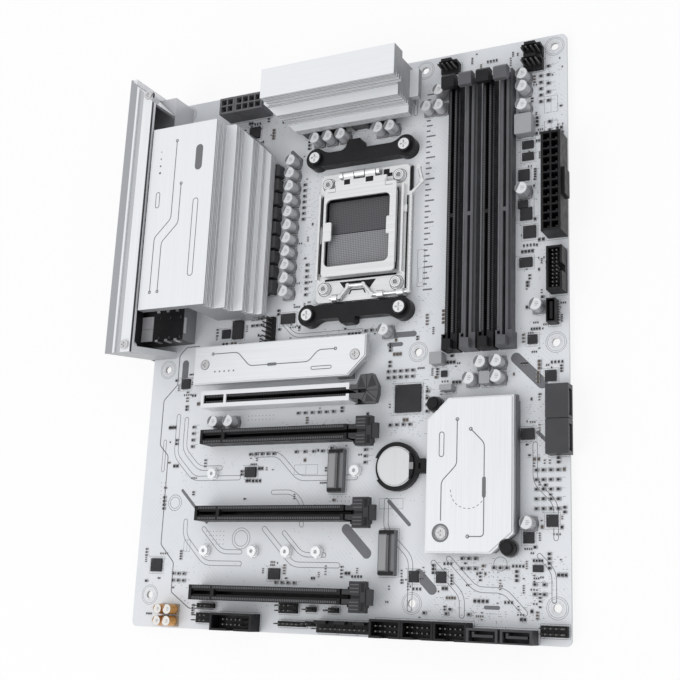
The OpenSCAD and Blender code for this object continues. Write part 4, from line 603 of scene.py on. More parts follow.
def islands(name):
    """Boxes of a node's separate pieces in board millimetres, each as lowest and highest corner."""
    mesh = NODES[name].data
    parent = list(range(len(mesh.vertices)))

    def root(i):
        while parent[i] != i:
            parent[i] = parent[parent[i]]
            i = parent[i]
        return i

    seen = {}
    for i, v in enumerate(mesh.vertices):
        key = tuple(round(c * 2e5) for c in v.co)
        if key in seen:
            parent[root(i)] = root(seen[key])
        else:
            seen[key] = i
    for edge in mesh.edges:
        a, b = (root(i) for i in edge.vertices)
        parent[a] = b
    boxes = {}
    for i, v in enumerate(mesh.vertices):
        p = (v.co - at(0, 0)) / MM
        low, high = boxes.setdefault(root(i), (p.copy(), p.copy()))
        for k in range(3):
            low[k], high[k] = min(low[k], p[k]), max(high[k], p[k])
    return sorted(boxes.values(), key=lambda b: (round(b[0].x, 1), round(b[0].y, 1)))


def disc(box):
    """The middle and the radius of an upright round piece."""
    low, high = box
    return (low.x + high.x) / 2, (low.y + high.y) / 2, (high.x - low.x) / 2


def read_board():
    """Finds each node's pieces and the room that is taken on the board's top face."""
    skip = ("pcb", "solder_tails", "socket_backplate", "heatsink_screws", "io_shield", "cover_screws")
    for name in NODES:
        PARTS[name] = islands(name)
        if name not in skip:
            TAKEN.extend((low.x, low.y, high.x, high.y) for low, high in PARTS[name] if low.z < 9 and high.z > 0.1)
    pad = 5.6
    TAKEN.extend((x - pad, y - pad, x + pad, y + pad) for x, y in STANDOFFS)


def free(x0, y0, x1, y1, gap=0.35):
    """True if a rectangle keeps clear of what stands on the board and of its edges."""
    edge = 1.2
    if min(x0, y0) < edge or x1 > BOARD_W - edge or y1 > BOARD_H - edge:
        return False
    return not any(x0 - gap < b[2] and x1 + gap > b[0] and y0 - gap < b[3] and y1 + gap > b[1] for b in TAKEN)


def snapped(low, high, step):
    """A random value on a grid."""
    return round(rng.uniform(low, high) / step) * step


def repeated(fields):
    """Each field's corners, as many times as its last number says."""
    return (corners for *corners, count in fields for _ in range(count))


# ---------------------------------------------------------------- small parts on the board

GRID = 1.27
SIZES = [(1.0, 0.55, 0.4), (1.6, 0.85, 0.5), (2.0, 1.25, 0.6)]  # lengths, widths and heights of small parts


def small_part(shape, x, y, w, d, h, material):
    """A chip resistor or capacitor: its body between two plated ends."""
    end, inset = 0.2 * max(w, d), 0.04
    in_x, in_y = (end, inset) if w >= d else (inset, end)
    shape.box((x + in_x, y + in_y, 0), (x + w - in_x, y + d - in_y, h), material)
    end_w, end_d = (end, d) if w >= d else (w, end)
    for x0, y0 in ((x, y), (x + w - end_w, y + d - end_d)):
        shape.box((x0, y0, 0), (x0 + end_w, y0 + end_d, h + 0.03))


def add_passives():
    """The passives node's parts with plated ends, and many smaller ones in groups."""
    parts = Shape("small_parts", SOLDER_DULL, slot="small_ceramic")
    pads = Shape("small_part_outlines", INK_LINE)
    for low, high in PARTS["passives"]:
        small_part(parts, low.x, low.y, high.x - low.x, high.y - low.y, high.z, RESISTOR)
        frame_box(pads, (low, high), 0.35, 0.1)

    def group(x, y, count, size, upright, step):
        w, d, h = size
        if upright:
            w, d = d, w
        material = rng.choice((RESISTOR, RESISTOR, RESISTOR, CERAMIC, RESIN))
        for i in range(count):
            px, py = (x + i * (w + step), y) if upright else (x, y + i * (d + step))
            if free(px, py, px + w, py + d):
                TAKEN.append((px, py, px + w, py + d))
                small_part(parts, px, py, w, d, h, material)

    often = [*SIZES, SIZES[0]]
    for low, high in PARTS["chips"]:
        for _ in range(5):
            side = rng.randrange(4)
            reach = rng.uniform(0.9, 3.2)
            upright = side < 2
            if upright:
                x = rng.uniform(low.x - 1, high.x - 1)
                y = high.y + reach if side == 0 else low.y - reach - 1.6
            else:
                x = high.x + reach if side == 2 else low.x - reach - 1.6
                y = rng.uniform(low.y - 1, high.y - 1)
            group(x, y, rng.randrange(2, 5), rng.choice(often), upright, rng.choice((0.5, 0.9)))
    for x0, y0, x1, y1 in repeated((
        (219, 140, 243, 300, 70), (96, 88, 175, 128, 34), (120, 110, 240, 160, 60), (180, 10, 243, 36, 46),
        (88, 10, 170, 30, 34), (10, 60, 44, 128, 16), (64, 150, 130, 166, 26), (40, 268, 82, 302, 30),
        (150, 270, 220, 303, 36), (88, 160, 104, 268, 20), (4, 3, 40, 44, 12), (220, 36, 243, 100, 26),
        (60, 66, 120, 100, 12),
    )):
        x, y = snapped(x0, x1, GRID), snapped(y0, y1, GRID)
        group(x, y, rng.randrange(1, 5), rng.choice(often), rng.random() < 0.5, rng.choice((0.5, 0.8)))
    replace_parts(parts.done(), "passives")
    pads.done()


def beside(low, high, out, inside=0.05):
    """The spans of the leads on both sides of a chip, along one axis."""
    return (low - out, low + inside), (high - inside, high + out)


def frame_line(shape, x0, y0, x1, y1, width):
    """The outline of a rectangle as a flat line, kept on the board."""
    rim, h = 0.5, width / 2
    x0, x1 = max(x0, rim), min(x1, BOARD_W - rim)
    y0, y1 = max(y0, rim), min(y1, BOARD_H - rim)
    for y in (y0, y1):
        shape.rect(x0 - h, y - h, x1 + h, y + h, INK_Z)
    for x in (x0, x1):
        shape.rect(x - h, y0 + h, x + h, y1 - h, INK_Z)


def frame_box(shape, box, margin, width):
    low, high = box
    frame_line(shape, low.x - margin, low.y - margin, high.x + margin, high.y + margin, width)


def add_chip_details():
    """Leads, marks and printed outlines of the larger chips."""
    leads = Shape("chip_leads", SOLDER, slot="chip_resin")
    outline = Shape("chip_outlines", INK_LINE)
    for low, high in PARTS["chips"]:
        w, d = high.x - low.x, high.y - low.y
        power_stage = low.x < 80 and low.y > 165 and high.z < 1.05 and w < 5.1
        if power_stage or not 3.9 <= min(w, d) <= 20:
            continue
        pitch = 0.8 if max(w, d) < 10 else 0.65
        all_round = w > 10 or rng.random() < 0.4
        for k in range(int((d - 0.8) / pitch)):
            y = low.y + 0.6 + k * pitch
            for x0, x1 in beside(low.x, high.x, 0.7):
                leads.box((x0, y, HAIR), (x1, y + 0.32, 0.17))
        for k in range(int((w - 0.8) / pitch) if all_round else 0):
            x = low.x + 0.6 + k * pitch
            for y0, y1 in beside(low.y, high.y, 0.7):
                leads.box((x, y0, HAIR), (x + 0.32, y1, 0.17))
        leads.prism(circle(low.x + 0.9, high.y - 0.9, 0.3, 12)[:-1], high.z - HAIR, high.z + 0.015, CHIP_MARK)
        margin = 1.1
        frame_box(outline, (low, high), margin, 0.12)
        outline.ring(low.x - margin - 0.7, high.y + margin, INK_Z, 0.0, 0.28, n=10)
    leads.done()
    outline.done()


def add_cap_tops():
    """Dark polarity segments, rims and printed dashes on the round capacitors."""
    marks = Shape("can_marks", CAN_SCORE, slot="can_aluminium")
    for name, paint, arc in (
        ("capacitors", CAN_SHADE, (96, 214, 16)), ("audio_capacitors", CAN_BROWN, (118, 196, 12)),
    ):
        for box in PARTS[name]:
            x, y, r = disc(box)
            r *= 0.88
            z = box[1].z + HAIR
            marks.flat(arc_points(x, y, r, *arc), z, paint)
            marks.ring(x, y, z, r + 0.02, r + 0.16, n=28)
            for k, (width, across) in enumerate(((0.34, 0.5), (0.34, 0.62), (0.3, 0.4))):
                level = (0.25 - 0.27 * k) * r
                marks.line(moved(x, y, (-0.06 * r, level), (across * r, level)), width, z + 0.004)
    marks.done()


# ---------------------------------------------------------------- sockets and slots

def add_slot_contacts():
    """Ribs of the card slots' walls and of the memory slots."""
    ribs = Shape("slot_ribs", RIB, slot="black_plastic")
    for n in range(1, 5):
        low, high = node_box(f"pcie_slot_{n}")
        y, top = (low.y + high.y) / 2, high.z
        near, far, width = (1.0, 1.9, 0.35) if n == 1 else (2.2, 3.3, 0.5)
        for k in range(82):
            x = low.x + 2.4 + k * 1.02 + (1.2 if k > 10 else 0)
            if x > high.x - 11:
                break
            for side in (-1, 1):
                if n > 1:
                    wall = y + side * 3.72
                    ribs.box((x, wall - 0.1, top - 2.4), (x + 0.5, wall + 0.1, top - 0.5))
                y0, y1 = mirrored(y, side, near, far)
                ribs.box((x, y0, top - HAIR), (x + width, y1, top + 0.1))
    for name in ("dimm_slots_black", "dimm_slots_grey"):
        for low, high in PARTS[name]:
            # the fixed end stands 4 mm over the walls, whose shoulders lie 2 mm lower
            x, wall = (low.x + high.x) / 2, high.z - 4
            for k in range(144):
                y = low.y + 9 + k * 0.93
                if y > high.y - 9:
                    break
                for near, far, z in ((1.05, 1.9, wall), (2.35, 3.1, wall - 2)):
                    for side in (-1, 1):
                        x0, x1 = mirrored(x, side, near, far)
                        ribs.box((x0, y, z - HAIR), (x1, y + 0.42, z + 0.06))
    ribs.done()


def add_clip_details():
    """Facets, grip ribs and seams on the clips that hold a card's end."""
    for n in range(1, 5):
        low, high = node_box(f"pcie_clip_{n}")
        x, z = low.x, high.z + HAIR
        y = sum(c.y for c in node_box(f"pcie_slot_{n}")) / 2
        seams = Shape(f"slot_clip_seams_{n}", BLACK_SATIN, body=f"slot_clip_{n}", slot="grey_plastic")
        if n == 1:
            for facet in (
                ((9.6, 1.3), (14.9, 2.3), (12.1, 8.2)), ((4.0, 1.6), (8.8, 1.5), (5.9, 7.9)),
                ((9.4, -1.5), (8.6, -5.8), (13.9, -5.7)),
            ):
                seams.flat(moved(x, y, *facet), z, CLIP_GREY)
            for end in ((15.2, 0.0), (14.6, -4.2), (9.2, 8.2), (6.4, -5.6)):
                seams.line(moved(x, y, (9.3, 0), end), 0.3, z + HAIR)
        else:
            seams.box((x + 5.0, y - 0.7, z), (x + 9.6, y + 0.7, z + 0.03))
            seams.box((x + 9.6, y - 7.1, z), (x + 9.95, y + 7.1, z + 0.03))
            for side in (-1, 1):
                for reach in (2.2, 3.9, 5.6):
                    y0, y1 = mirrored(y, side, reach, reach + 0.45)
                    seams.box((x + 4.4, y0, z), (x + 9.2, y1, z + 0.16), RIB)
                y0, y1 = mirrored(y, side, 2.4, 6.6)
                seams.box((x + 10.4, y0, z), (x + 12.2, y1, z + 0.03))
        seams.done()


def add_m2_details():
    """Steel tops, black end blocks and contact tails of the card sockets, and nuts under their standoffs."""
    parts = Shape("card_socket_fittings", BLACK, slot="grey_plastic")
    for low, high in PARTS["m2_sockets"]:
        if high.y - low.y < 10:
            continue
        x = low.x + (high.x - low.x) * 0.55
        top = high.z
        base = top - HAIR
        parts.box((low.x + 0.5, low.y + 2.6, base), (x - 0.5, high.y - 2.6, top + 0.12), GREY_STEEL)
        parts.box((x, low.y + 1.6, base), (x + 1.1, high.y - 1.6, top + 0.06))
        for y in (low.y + 0.2, high.y - 2.0):
            parts.box((low.x + 0.3, y, base), (high.x - 0.3, y + 1.8, top + 0.16))
        for k in range(int((high.y - low.y - 4) / 0.5)):
            y = low.y + 2 + k * 0.5
            parts.box((low.x - 0.9, y, HAIR), (low.x + 0.05, y + 0.22, 0.2), GOLD)
            parts.box((x + 0.2, y, top + 0.03), (x + 0.9, y + 0.22, top + 0.1), GREY_STEEL)
    parts.done()
    nuts = Shape("standoff_nuts", NICKEL, slot="screw_steel")
    for box in PARTS["m2_standoffs"]:
        x, y, r = disc(box)
        nuts.prism(arc_points(x, y, r + 0.75, 15, 375, 6)[:-1], HAIR, 1.1)
    nuts.done(bevel=0.15)


def add_socket_details():
    """Rings and lobed recesses on the processor socket's screws, and what shows round its frame and plate, with a
    painted shadow along the plate's lower edge.
    """
    parts = Shape("socket_fittings", BLACK_SATIN, slot="socket_steel")
    for box in PARTS["socket_screws"]:
        x, y, r = disc(box)
        z = box[1].z + HAIR
        parts.ring(x, y, z, r - 0.3, r - 0.04, CAN_MARK, n=36)
        parts.ring(x, y, z, r * 0.6, r * 0.67, GREY_STEEL, n=36)
        lobes = [((0.27 if k % 2 else 0.46) * r, math.pi * k / 6) for k in range(12)]
        parts.flat([(x + q * math.cos(a), y + q * math.sin(a)) for q, a in lobes], z, GREY_STEEL)
        parts.ring(x, y, FRAME_TOP + HAIR, r + 0.5, r + 0.8, CAN_MARK, n=40)
    # black housing that shows round the frame, and through its cut-outs beside the crank and the hinge. The strip
    # along the frame's lower edge is black housing that also stands in for the shade in the gap to the bracket, and
    # a flat along the load plate's lower edge is a painted shadow
    low = node_box("socket_frame")[0]
    cx, cy = low.x + 24.6, low.y + 37.8
    for x0, y0, x1, y1, z in (
        # the third strip, along the frame's lower edge, is housing that also stands in for the shade in the gap to
        # the bracket
        (29, -35.6, 30.1, 35, 1.2), (-25.2, -36, -24.65, 33, 0.9), (-23.8, -38.6, 27.6, -37.85, 1.5),
        (-24.9, -39.5, -15.5, -37.85, 1.2), (-24.8, 33.4, -12, 36, 1.0),
    ):
        parts.box((cx + x0, cy + y0, 0.05), (cx + x1, cy + y1, z))
    for outline in (
        ((-7.0, -31.4), (-5.0, -29.2), (5.3, -29.2), (7.4, -31.4), (11.0, -26.6), (-10.6, -26.6)),
        ((-4.9, -33.8), (-4.2, -33.8), (-3.2, -31.9), (3.6, -31.9), (4.6, -33.8), (5.3, -33.8), (4.2, -31.2),
         (-3.8, -31.2)),
        # a painted shadow of the load plate's lower edge, laid on the frame
        ((-19.6, -25.6), (22.8, -25.6), (22.8, -24.4), (-19.6, -24.4)),
        ((27.5, -33.5), (28.6, -33.5), (28.6, 18), (27.5, 18)),
        ((13.4, 30.2), (18.6, 30.2), (18.6, 32.2), (16.8, 32.2), (16.8, 34.6), (13.4, 34.6)),
        ((-19.2, 28.2), (-15.4, 28.2), (-15.4, 31.6), (-17.4, 31.6), (-17.4, 30.2), (-19.2, 30.2)),
    ):
        parts.flat(moved(cx, cy, *outline), FRAME_TOP + 0.03)
    parts.done()

    plate = Shape("load_plate_cutouts", BLACK_SATIN, body="load_plate", slot="socket_steel")
    z = PLATE_TOP + HAIR
    for x0, x1 in ((-8.2, -4.6), (4.8, 9.4)):
        plate.rect(cx + x0, cy + 27.0, cx + x1, cy + 30.0, z)
    for far, near in ((-18.0, -13.4), (21.0, 16.6)):
        plate.line(moved(cx, cy, (far, 23.6), (near, 23.6), (near, 27.5)), 0.3, z, GREY_STEEL)
    plate.done()


# ---------------------------------------------------------------- print on the board and on the plates

def add_board_print():
    """A plain layout of thin lines, rings, dots and round-ended bars, and rings round the standoff holes."""
    art = Shape("board_print", INK_LINE)
    pads = Shape("standoff_pads", BARE_PAD, slot="solder")
    for x, y in STANDOFFS:
        pads.ring(x, y, INK_Z, 2.05, 3.3, n=40)
        pads.ring(x, y, -BOARD_T - INK_Z, 2.05, 3.7, n=40)
        art.ring(x, y, INK_Z, 5.05, 5.22, n=56)
        art.ring(x, y, INK_Z, 4.2, 4.34, INK_GREY)
        for px, py in arc_points(x, y, 4.65, 22.5, 382.5, 8)[:-1]:
            pads.ring(px, py, INK_Z + 0.01, 0.0, 0.17, n=8)
    pads.done()

    # border line with stepped corners
    for border in (
        [(30.5, 153.5), (22, 153.5), (17.4, 149), (17.4, 132), (8.8, 123.4), (8.8, 98), (14.8, 92), (14.8, 50)],
        [(14.8, 50), (14.8, 43.5), (24, 34), (24, 18.5), (36.2, 10.4), (52, 10.4)],
    ):
        art.line(rounded(border, 1.2), 0.55, INK_Z, INK_GREY)
    # outlined tracks between the slots, turning the same way in pairs, each by its width and its path
    for width, *path in (
        (2.4, (20, 114), (20, 92), (33, 79), (62, 79)),
        (2.4, (25.5, 112), (25.5, 95), (36, 84.5), (50, 84.5)),
        (2.6, (72, 91), (86, 91), (99, 78), (132, 78)),
        (2.2, (84, 71), (96, 71), (102, 65), (102, 54)),
        (2.4, (30, 56), (30, 48), (44, 34), (66, 34)),
        (2.2, (42, 52), (54, 40), (66, 40)),
        (2.6, (80, 52), (98, 34), (124, 34)),
        (2.2, (92, 50), (103, 39), (116, 39)),
        (2.4, (150, 66), (150, 52), (164, 38), (164, 14)),
        (2.6, (176, 36), (191, 21), (191, 12)),
        (2.6, (184, 38), (198, 24), (212, 24), (222, 14)),
        (2.2, (227, 92), (227, 74), (237, 64), (237, 48)),
        (2.2, (229, 40), (236, 33), (236, 20)),
        (2.0, (84, 163), (92, 155), (132, 155)),
        (2.2, (148, 302), (160, 290), (160, 274)),
        (1.8, (12, 100), (12, 84)),
    ):
        art.line(track_outline(rounded(path, 4.0), width), 0.32, INK_Z, loop=True)
    # round-ended bars, each by its middle, length, width and angle
    for bar in (
        (224, 128, 24, 5.4, 135), (134, 46, 22, 5.2, 135), (21.9, 137.5, 17, 4.2, 90), (172, 27, 15, 5, 135),
        (35, 64, 26, 1.6, 135), (157, 60, 18, 1.9, 135), (87, 260, 11, 2.4, 135), (156, 151, 16, 3.0, 0),
        (152, 146, 9, 2.2, 0), (232, 94, 12, 1.8, 135), (112, 61, 9, 1.8, 135), (206, 16, 8, 1.8, 0),
        (58, 18, 9, 1.6, 0),
    ):
        art.flat(pill(*bar), INK_Z + 0.008, INK_GREY)
    # a graduated scale between the processor and the memory, and fields of dots
    for k in range(37):
        length = (5.4, 2.4, 3.6, 2.4)[k % 4]
        art.flat(pill(166.6 + length / 2, 174 + 3.05 * k, length, 0.85), INK_Z + 0.006, INK_GREY)
    for x0, y0, nx, ny in (
        (44, 44, 6, 4), (66, 110, 8, 2), (150, 168, 4, 3), (118, 66, 6, 2), (200, 30, 5, 2), (12, 66, 2, 6),
    ):
        for k in range(nx * ny):
            art.ring(x0 + k // ny * 2.2, y0 + k % ny * 2.2, INK_Z, 0.0, 0.26, n=8)
    for x, y, r in ((66, 47, 5.6), (66, 47, 4.2), (118, 92, 3.0), (22, 66, 4.4), (22, 66, 3.2), (210, 36, 3.4)):
        art.ring(x, y, INK_Z, r - 0.26, r)
    # frames round sockets, slots and headers
    for name, margin in (
        ("atx_power_socket", 0.8), ("cpu_power_sockets", 0.8), ("usb_headers", 0.8), ("sata_ports", 0.7),
        ("fan_headers", 0.7), ("box_headers", 0.7), ("m2_sockets", 0.8), ("chokes", 0.5),
    ):
        for box in PARTS[name]:
            frame_box(art, box, margin, 0.16)
    for box in PARTS["capacitors"]:
        x, y, r = disc(box)
        r += 0.7
        art.ring(x, y, INK_Z, r - 0.16, r, n=36)
        art.flat(arc_points(x, y, r - 0.2, -60, 60, 12), INK_Z + 0.006, INK_GREY)
    # long frame beside the memory slots and a few empty fields
    frame_line(art, 163.4, 176, 167.4, 196, 0.2)
    frame_line(art, 164.2, 178, 166.6, 186, 0.14)
    for x, y, w, d in (
        (96, 80, 14, 5), (146, 62, 13, 5), (30, 40, 4, 6), (232, 262, 7, 9), (232, 248, 7, 9), (46, 122, 8, 3),
    ):
        frame_line(art, x, y, x + w, y + d, 0.16)
        art.line([(x + w / 2, y), (x + w / 2, y + d)], 0.14, INK_Z)
    art.done()


def add_vias():
    """Vias and test points on both faces, fields of fine printed dashes, and ticks beside the small parts."""
    vias = Shape("vias", INK_GREY)
    # thickest round the processor and between the slots
    z = INK_Z + 0.01
    for x0, y0, x1, y1 in repeated((
        (94, 160, 104, 268, 110), (36, 84, 130, 104, 90), (148, 106, 240, 136, 150), (160, 170, 172, 290, 120),
        (219, 140, 242, 300, 170), (176, 8, 240, 38, 130), (20, 60, 44, 126, 50), (104, 150, 160, 170, 90),
        (44, 272, 80, 300, 60), (10, 10, 90, 34, 70), (96, 28, 160, 66, 60), (150, 64, 172, 100, 40),
        (108, 252, 160, 268, 50),
    )):
        x, y = snapped(x0, x1, GRID / 2), snapped(y0, y1, GRID / 2)
        if free(x - 0.2, y - 0.2, x + 0.2, y + 0.2, 0.1):
            r, paint, n = (0.17, INK_GREY, 7) if rng.random() < 0.97 else (0.42, BARE_PAD, 14)
            vias.ring(x, y, z, 0.0, r, paint, n)
    for _ in range(420):
        x, y = rng.uniform(6, BOARD_W - 6), rng.uniform(6, BOARD_H - 6)
        r = rng.choice((0.2, 0.2, 0.45))
        vias.ring(x, y, -BOARD_T - INK_Z, 0.0, r, rng.choice((INK_GREY, BARE_PAD)), n=8)
    # dashes and reference ticks
    z = INK_Z + 0.012
    for x0, y0, x1, y1 in repeated((
        (176, 10, 242, 40, 260), (222, 84, 242, 112, 90), (108, 152, 172, 172, 150), (46, 272, 80, 300, 60),
        (218, 196, 242, 300, 150), (86, 104, 128, 108, 40), (24, 12, 120, 24, 110), (150, 98, 172, 128, 110),
        (92, 160, 104, 250, 90), (108, 262, 160, 270, 60),
    )):
        x, y = rng.uniform(x0, x1), snapped(y0, y1, 1.1)
        length = rng.uniform(0.4, 1.1)
        if free(x, y - 0.1, x + length, y + 0.1, 0.15):
            vias.line([(x, y), (x + length, y)], 0.16, z)
    for low, high in PARTS["passives"] + PARTS["chips"]:
        x, y = high.x + 0.9, high.y + rng.uniform(-0.4, 0.6)
        for k in range(rng.randrange(2, 4)):
            x0 = x + k * 0.8
            vias.line([(x0, y), (x0 + rng.uniform(0.3, 0.6), y)], 0.22, z)
    vias.done()


def add_plate_print():
    """Thin engraved lines, pills and dots on the tops of the three big plates."""
    art = Shape("plate_lines", PLATE_LINE, slot="white_aluminium")

    def line(z, *points, ends=(0, -1)):
        art.line(rounded(points, 2.0), 0.5, z)
        for end in ends:
            art.ring(*points[end], z + 0.004, 0.45, 0.95, n=20)

    def bar(z, *shape):
        art.flat(pill(*shape), z + 0.006)

    def hollow_bar(z, *shape):
        art.line(pill(*shape), 0.42, z, loop=True)

    z = node_box("vrm_heatsink_left")[1].z + INK_Z
    line(z, (23, 175), (23, 206), (33, 216), (33, 262))
    line(z, (28, 175), (28, 203), (38, 213), (38, 236))
    hollow_bar(z, 48.5, 204, 44, 3.2, 90)
    bar(z, 48.5, 250, 15, 4.6, 90)
    hollow_bar(z, 23, 228, 9, 2.4, 90)
    for k in range(4):
        art.ring(23, 244 + k * 4.2, z, 0.0, 0.7 - 0.12 * k, n=16)

    z = node_box("m2_heatsink")[1].z + INK_Z
    line(z, (46, 146), (62, 146), (70, 138), (98, 138), ends=(0,))
    line(z, (98, 138), (106, 138), (112, 144), (122, 144), ends=(-1,))
    bar(z, 84, 138, 6, 1.7)
    hollow_bar(z, 114, 134.4, 12, 1.6)
    for k in range(5):
        art.ring(48 + k * 3, 136, z, 0.0, 0.5, n=14)

    low, high = node_box("chipset_cover")
    x, z = low.x, high.z + INK_Z
    line(z, *moved(x, 0, (8.2, 55.4), (8.2, 74), (16, 82), (16, 104)), ends=(-1,))
    line(z, *moved(x, 0, (22, 48), (30, 48), (30, 66)), ends=(0,))
    bar(z, x + 30, 71, 10, 1.9, 90)
    line(z, *moved(x, 0, (30, 76), (30, 92), (23, 99)), ends=(-1,))
    for a in range(180, 360, 15):
        art.line(arc_points(x + 22, 70, 9, a, a + 8, 3), 0.3, z)
    hollow_bar(z, x + 8, 92, 12, 2.4, 90)
    art.ring(x + 8.2, 49.6, z, 3.5, 4.4, n=40)
    art.done()


# ---------------------------------------------------------------- rear ports, battery and the rest

JACK_DROP = 121.5  # the first audio jack's distance from the board's top edge
JACK_STEP = 11.4


def add_port_details():
    """Tongues and contacts of the USB and network ports, and the fittings of the audio block."""
    parts = Shape("port_fittings", GOLD, slot="port_shell")
    front = node_box("usb_ports")[0].x
    for drop in (44.0, 61.0, 80.0):
        y = BOARD_H - drop
        for z in (5, 12.4):
            parts.box((front + 0.55, y - 5.55, z - 0.95), (front + 7, y + 5.55, z + 0.95), USB_BLUE)
            for k in range(4):
                mid = y - 3.75 + k * 2.5
                parts.box((front + 1.2, mid - 0.5, z - 1.02), (front + 6, mid + 0.5, z - 0.94))
    low, high = node_box("lan_port")
    y = (low.y + high.y) / 2
    for mid, window in ((y - 5.6, LED_GREEN), (y + 5.6, LED_AMBER)):
        parts.box((low.x - 0.06, mid - 1.2, low.z + 11), (low.x + 0.5, mid + 1.2, low.z + 12.4), window)
    for k in range(8):
        mid = y - 3.57 + k * 1.02
        parts.box((low.x + 2, mid - 0.2, low.z + 8.6), (low.x + 9, mid + 0.2, low.z + 9.4))
    parts.done()

    low, high = node_box("audio_jacks")
    jacks = Shape("audio_fittings", STEEL, slot="black_plastic")
    top = high.z
    # pale front of the block above the jacks, with a seam across it, painted whiter as a painted reflection of the
    # block's lit front
    for y0, y1 in ((0.3, 7.4), (7.6, 14.6)):
        jacks.box((-1.2, low.y + y0, top - 8.5), (6.2, low.y + y1, top + 0.06), JACK_FRONT_PAINTED_REFLECTION)
    for k in range(3):
        x = 8.5 + k * 6.4
        for y in (low.y - 0.35, low.y + 16.4):
            jacks.box((x, y, top - 5), (x + 1.9, y + 0.45, top + 0.12))
            jacks.box((x, y, top), (x + 1.9, y + 1.2, top + 0.14))
    jacks.box((high.x - HAIR, low.y + 4, top - 3.0), (high.x + 0.25, low.y + 13, top - 0.9))
    outer, inner = circle(0, 0, 3.7, 28), circle(0, 0, 2.0, 28)
    x = low.x - 0.04
    for k, paint in enumerate((JACK_BLUE, JACK_GREEN, JACK_PINK)):
        y = BOARD_H - JACK_DROP - k * JACK_STEP
        for i in range(28):
            corners = (outer[i], inner[i], inner[i + 1], outer[i + 1])
            jacks.face([(x, y + across, 7 + up) for across, up in corners], paint)
    jacks.done()


def add_shield_print():
    """Pale lines on the outside of the rear shield, laid out by distance from the board's top edge and by height."""
    face = node_box("io_shield")[0].x - INK_Z
    art = Shape("shield_lines", SHIELD_LINE, slot="black_steel")
    for line in (
        [(3.6, 19.8), (23.4, 19.8)], [(37, 17.4), (68, 17.4)], [(6, 36), (30, 36), (36, 30), (60.4, 30)],
        [(6, 32.6), (23, 32.6), (30.6, 25), (52.4, 25)], [(76, 36), (95.5, 36), (98.5, 33), (98.5, 21)],
    ):
        art.line(line, 0.35, 0)
    for drop, z in ((5, 36), (61.4, 30), (5, 32.6), (53.4, 25), (75, 36)):
        art.ring(drop, z, 0, 0.55, 1.0, n=20)
    # rings round the audio jacks and the button
    for drop, r in (*((BOARD_H * 0.3984 + k * JACK_STEP, 5.0) for k in range(3)), (30, 2.9)):
        art.ring(drop, 7, 0, r, r + 0.3)
    for k in range(9):
        art.line([(40 + k * 2.2, 35), (43 + k * 2.2, 38)], 0.6, 0)
    art.points = [(face, BOARD_H - drop, z) for drop, z, _ in art.points]
    art.done()


def add_battery_details():
    """A rim on the coin cell, and the black arm that holds it down on the side of the contact."""
    cell = node_box("coin_cell")
    x, y, r = disc(cell)
    z = cell[1].z + HAIR
    parts = Shape("cell_fittings", BLACK_SATIN, slot="cell_steel")
    parts.ring(x, y, z, r - 0.62, r - 0.5, CAN_SCORE, n=64)
    parts.prism(arc_points(x, y, r + 0.35, -41, 41, 20), z, z + 0.48)
    parts.box((x + r - 2.2, y - 1.7, z + 0.48), (x + r + 0.1, y + 1.7, z + 0.6), GREY_STEEL)
    parts.done()


def add_header_details():
    """Contact tails of the lowest USB header and of the drive sockets."""
    parts = Shape("header_fittings", STEEL, slot="black_plastic")
    low, high = min(PARTS["usb_headers"], key=lambda box: box[0].y)
    for k in range(8):
        y = low.y + 1.3 + k * (high.y - low.y - 2.6) / 7
        for x0, x1 in beside(low.x, high.x, 0.8, HAIR):
            parts.box((x0, y - 0.22, HAIR), (x1, y + 0.22, 1.6))
    for low, high in PARTS["sata_ports"]:
        if high.y - low.y > 12:
            for k in range(7):
                y = low.y + 3.4 + k * 1.27
                parts.box((low.x - 0.9, y, HAIR), (low.x + 0.05, y + 0.4, 0.3))
    parts.done()


def add_underside():
    """A few small parts under the board."""
    parts = Shape("underside_parts", SOLDER, slot="small_ceramic")
    under = -BOARD_T
    names = ("solder_tails", "socket_backplate", "heatsink_screws")
    busy = [box for name in names for box in PARTS[name] if box[0].z < under]
    for _ in range(150):
        x, y = snapped(8, BOARD_W - 8, GRID), snapped(8, BOARD_H - 8, GRID)
        w, d, h = rng.choice(SIZES)
        if any(x - 1 < b.x and x + w + 1 > a.x and y - 1 < b.y and y + d + 1 > a.y for a, b in busy):
            continue
        if any(abs(x - sx) < 7 and abs(y - sy) < 7 for sx, sy in STANDOFFS):
            continue
        end = w * 0.22
        parts.box((x + end, y, under - h), (x + w - end, y + d, under), rng.choice((RESISTOR, RESISTOR, CERAMIC)))
        for x0 in (x, x + w - end):
            parts.box((x0, y, under - h - 0.03), (x0 + end, y + d, under))
    parts.done()


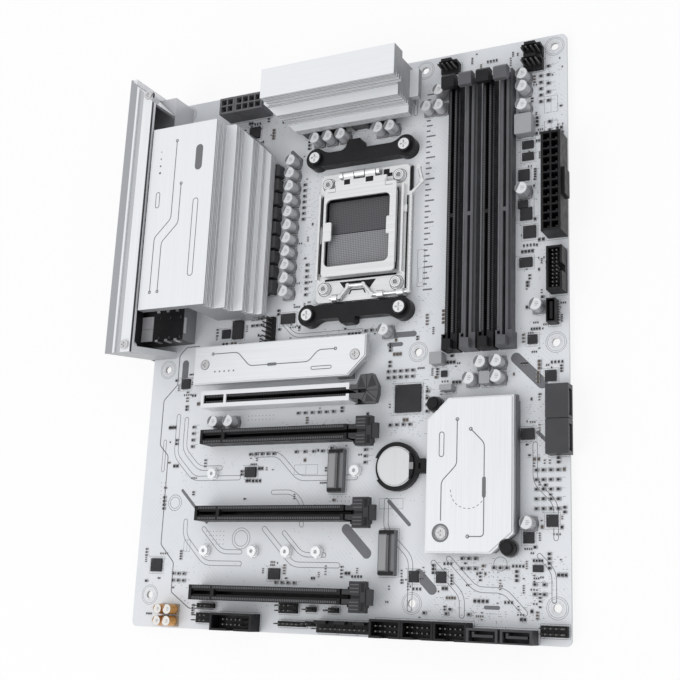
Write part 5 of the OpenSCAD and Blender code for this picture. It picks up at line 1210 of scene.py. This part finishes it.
read_board()
add_passives()
add_chip_details()
add_cap_tops()
add_slot_contacts()
add_clip_details()
add_m2_details()
add_socket_details()
add_board_print()
add_vias()
add_plate_print()
add_port_details()
add_shield_print()
add_battery_details()
add_header_details()
add_underside()

# ---------------------------------------------------------------- floor, light and camera

CAMERA_PLACE = (0.30114, -0.06641, 0.50976)
CAMERA_TURN = (15.513, 25.816, 2.314)
CAMERA_LENS = 59.08
CAMERA_SHIFT = (-0.0436, -0.0263)


def place(name, data):
    """Links a new object to the scene."""
    made = bpy.data.objects.new(name, data)
    bpy.context.scene.collection.objects.link(made)
    return made


def make_camera():
    data = bpy.data.cameras.new("camera")
    data.lens = CAMERA_LENS
    data.sensor_width = 36
    data.shift_x, data.shift_y = CAMERA_SHIFT
    data.clip_start = 0.01
    camera = place("camera", data)
    camera.location = CAMERA_PLACE
    camera.rotation_euler = [math.radians(a) for a in CAMERA_TURN]
    bpy.context.scene.camera = camera


def make_light(name, start, target, size, power):
    data = bpy.data.lights.new(name, "AREA")
    data.shape = "RECTANGLE"
    data.size, data.size_y = size
    data.energy = power
    light = place(name, data)
    light.location = start
    light.rotation_euler = (Vector(target) - Vector(start)).to_track_quat("-Z", "Y").to_euler()


def make_stage():
    """A pale floor under a pale sky, both nearly white to the camera."""
    low = min(corner.z for corner in cad_box)
    half = 6.0
    mesh = bpy.data.meshes.new("floor")
    corners = ((-half, -half), (half, -half), (half, half), (-half, half))
    mesh.from_pydata([(x, y, low) for x, y in corners], [], [range(4)])
    place("floor", mesh)
    paint = Paint("pale_floor", (0.86, 0.86, 0.865), roughness=0.8)
    paint.whiten(paint.shader, "Emission", 0.86, "Material Output")
    mesh.materials.append(paint.material)

    world = bpy.data.worlds.new("studio")
    bpy.context.scene.world = world
    world.use_nodes = True
    sky = Nodes(world.node_tree)
    dim = sky.tree.nodes["Background"]
    sky.put((0.95, 0.97, 1.0), dim.inputs["Color"])
    sky.put(0.92, dim.inputs["Strength"])
    sky.whiten(dim, "Background", 1.0, "World Output")


make_camera()
make_stage()
make_light("key", (-1.1, -0.9, 1.6), (0.03, 0.07, 0), (1.4, 1.4), 12)
bpy.context.scene.view_settings.view_transform = "Standard"
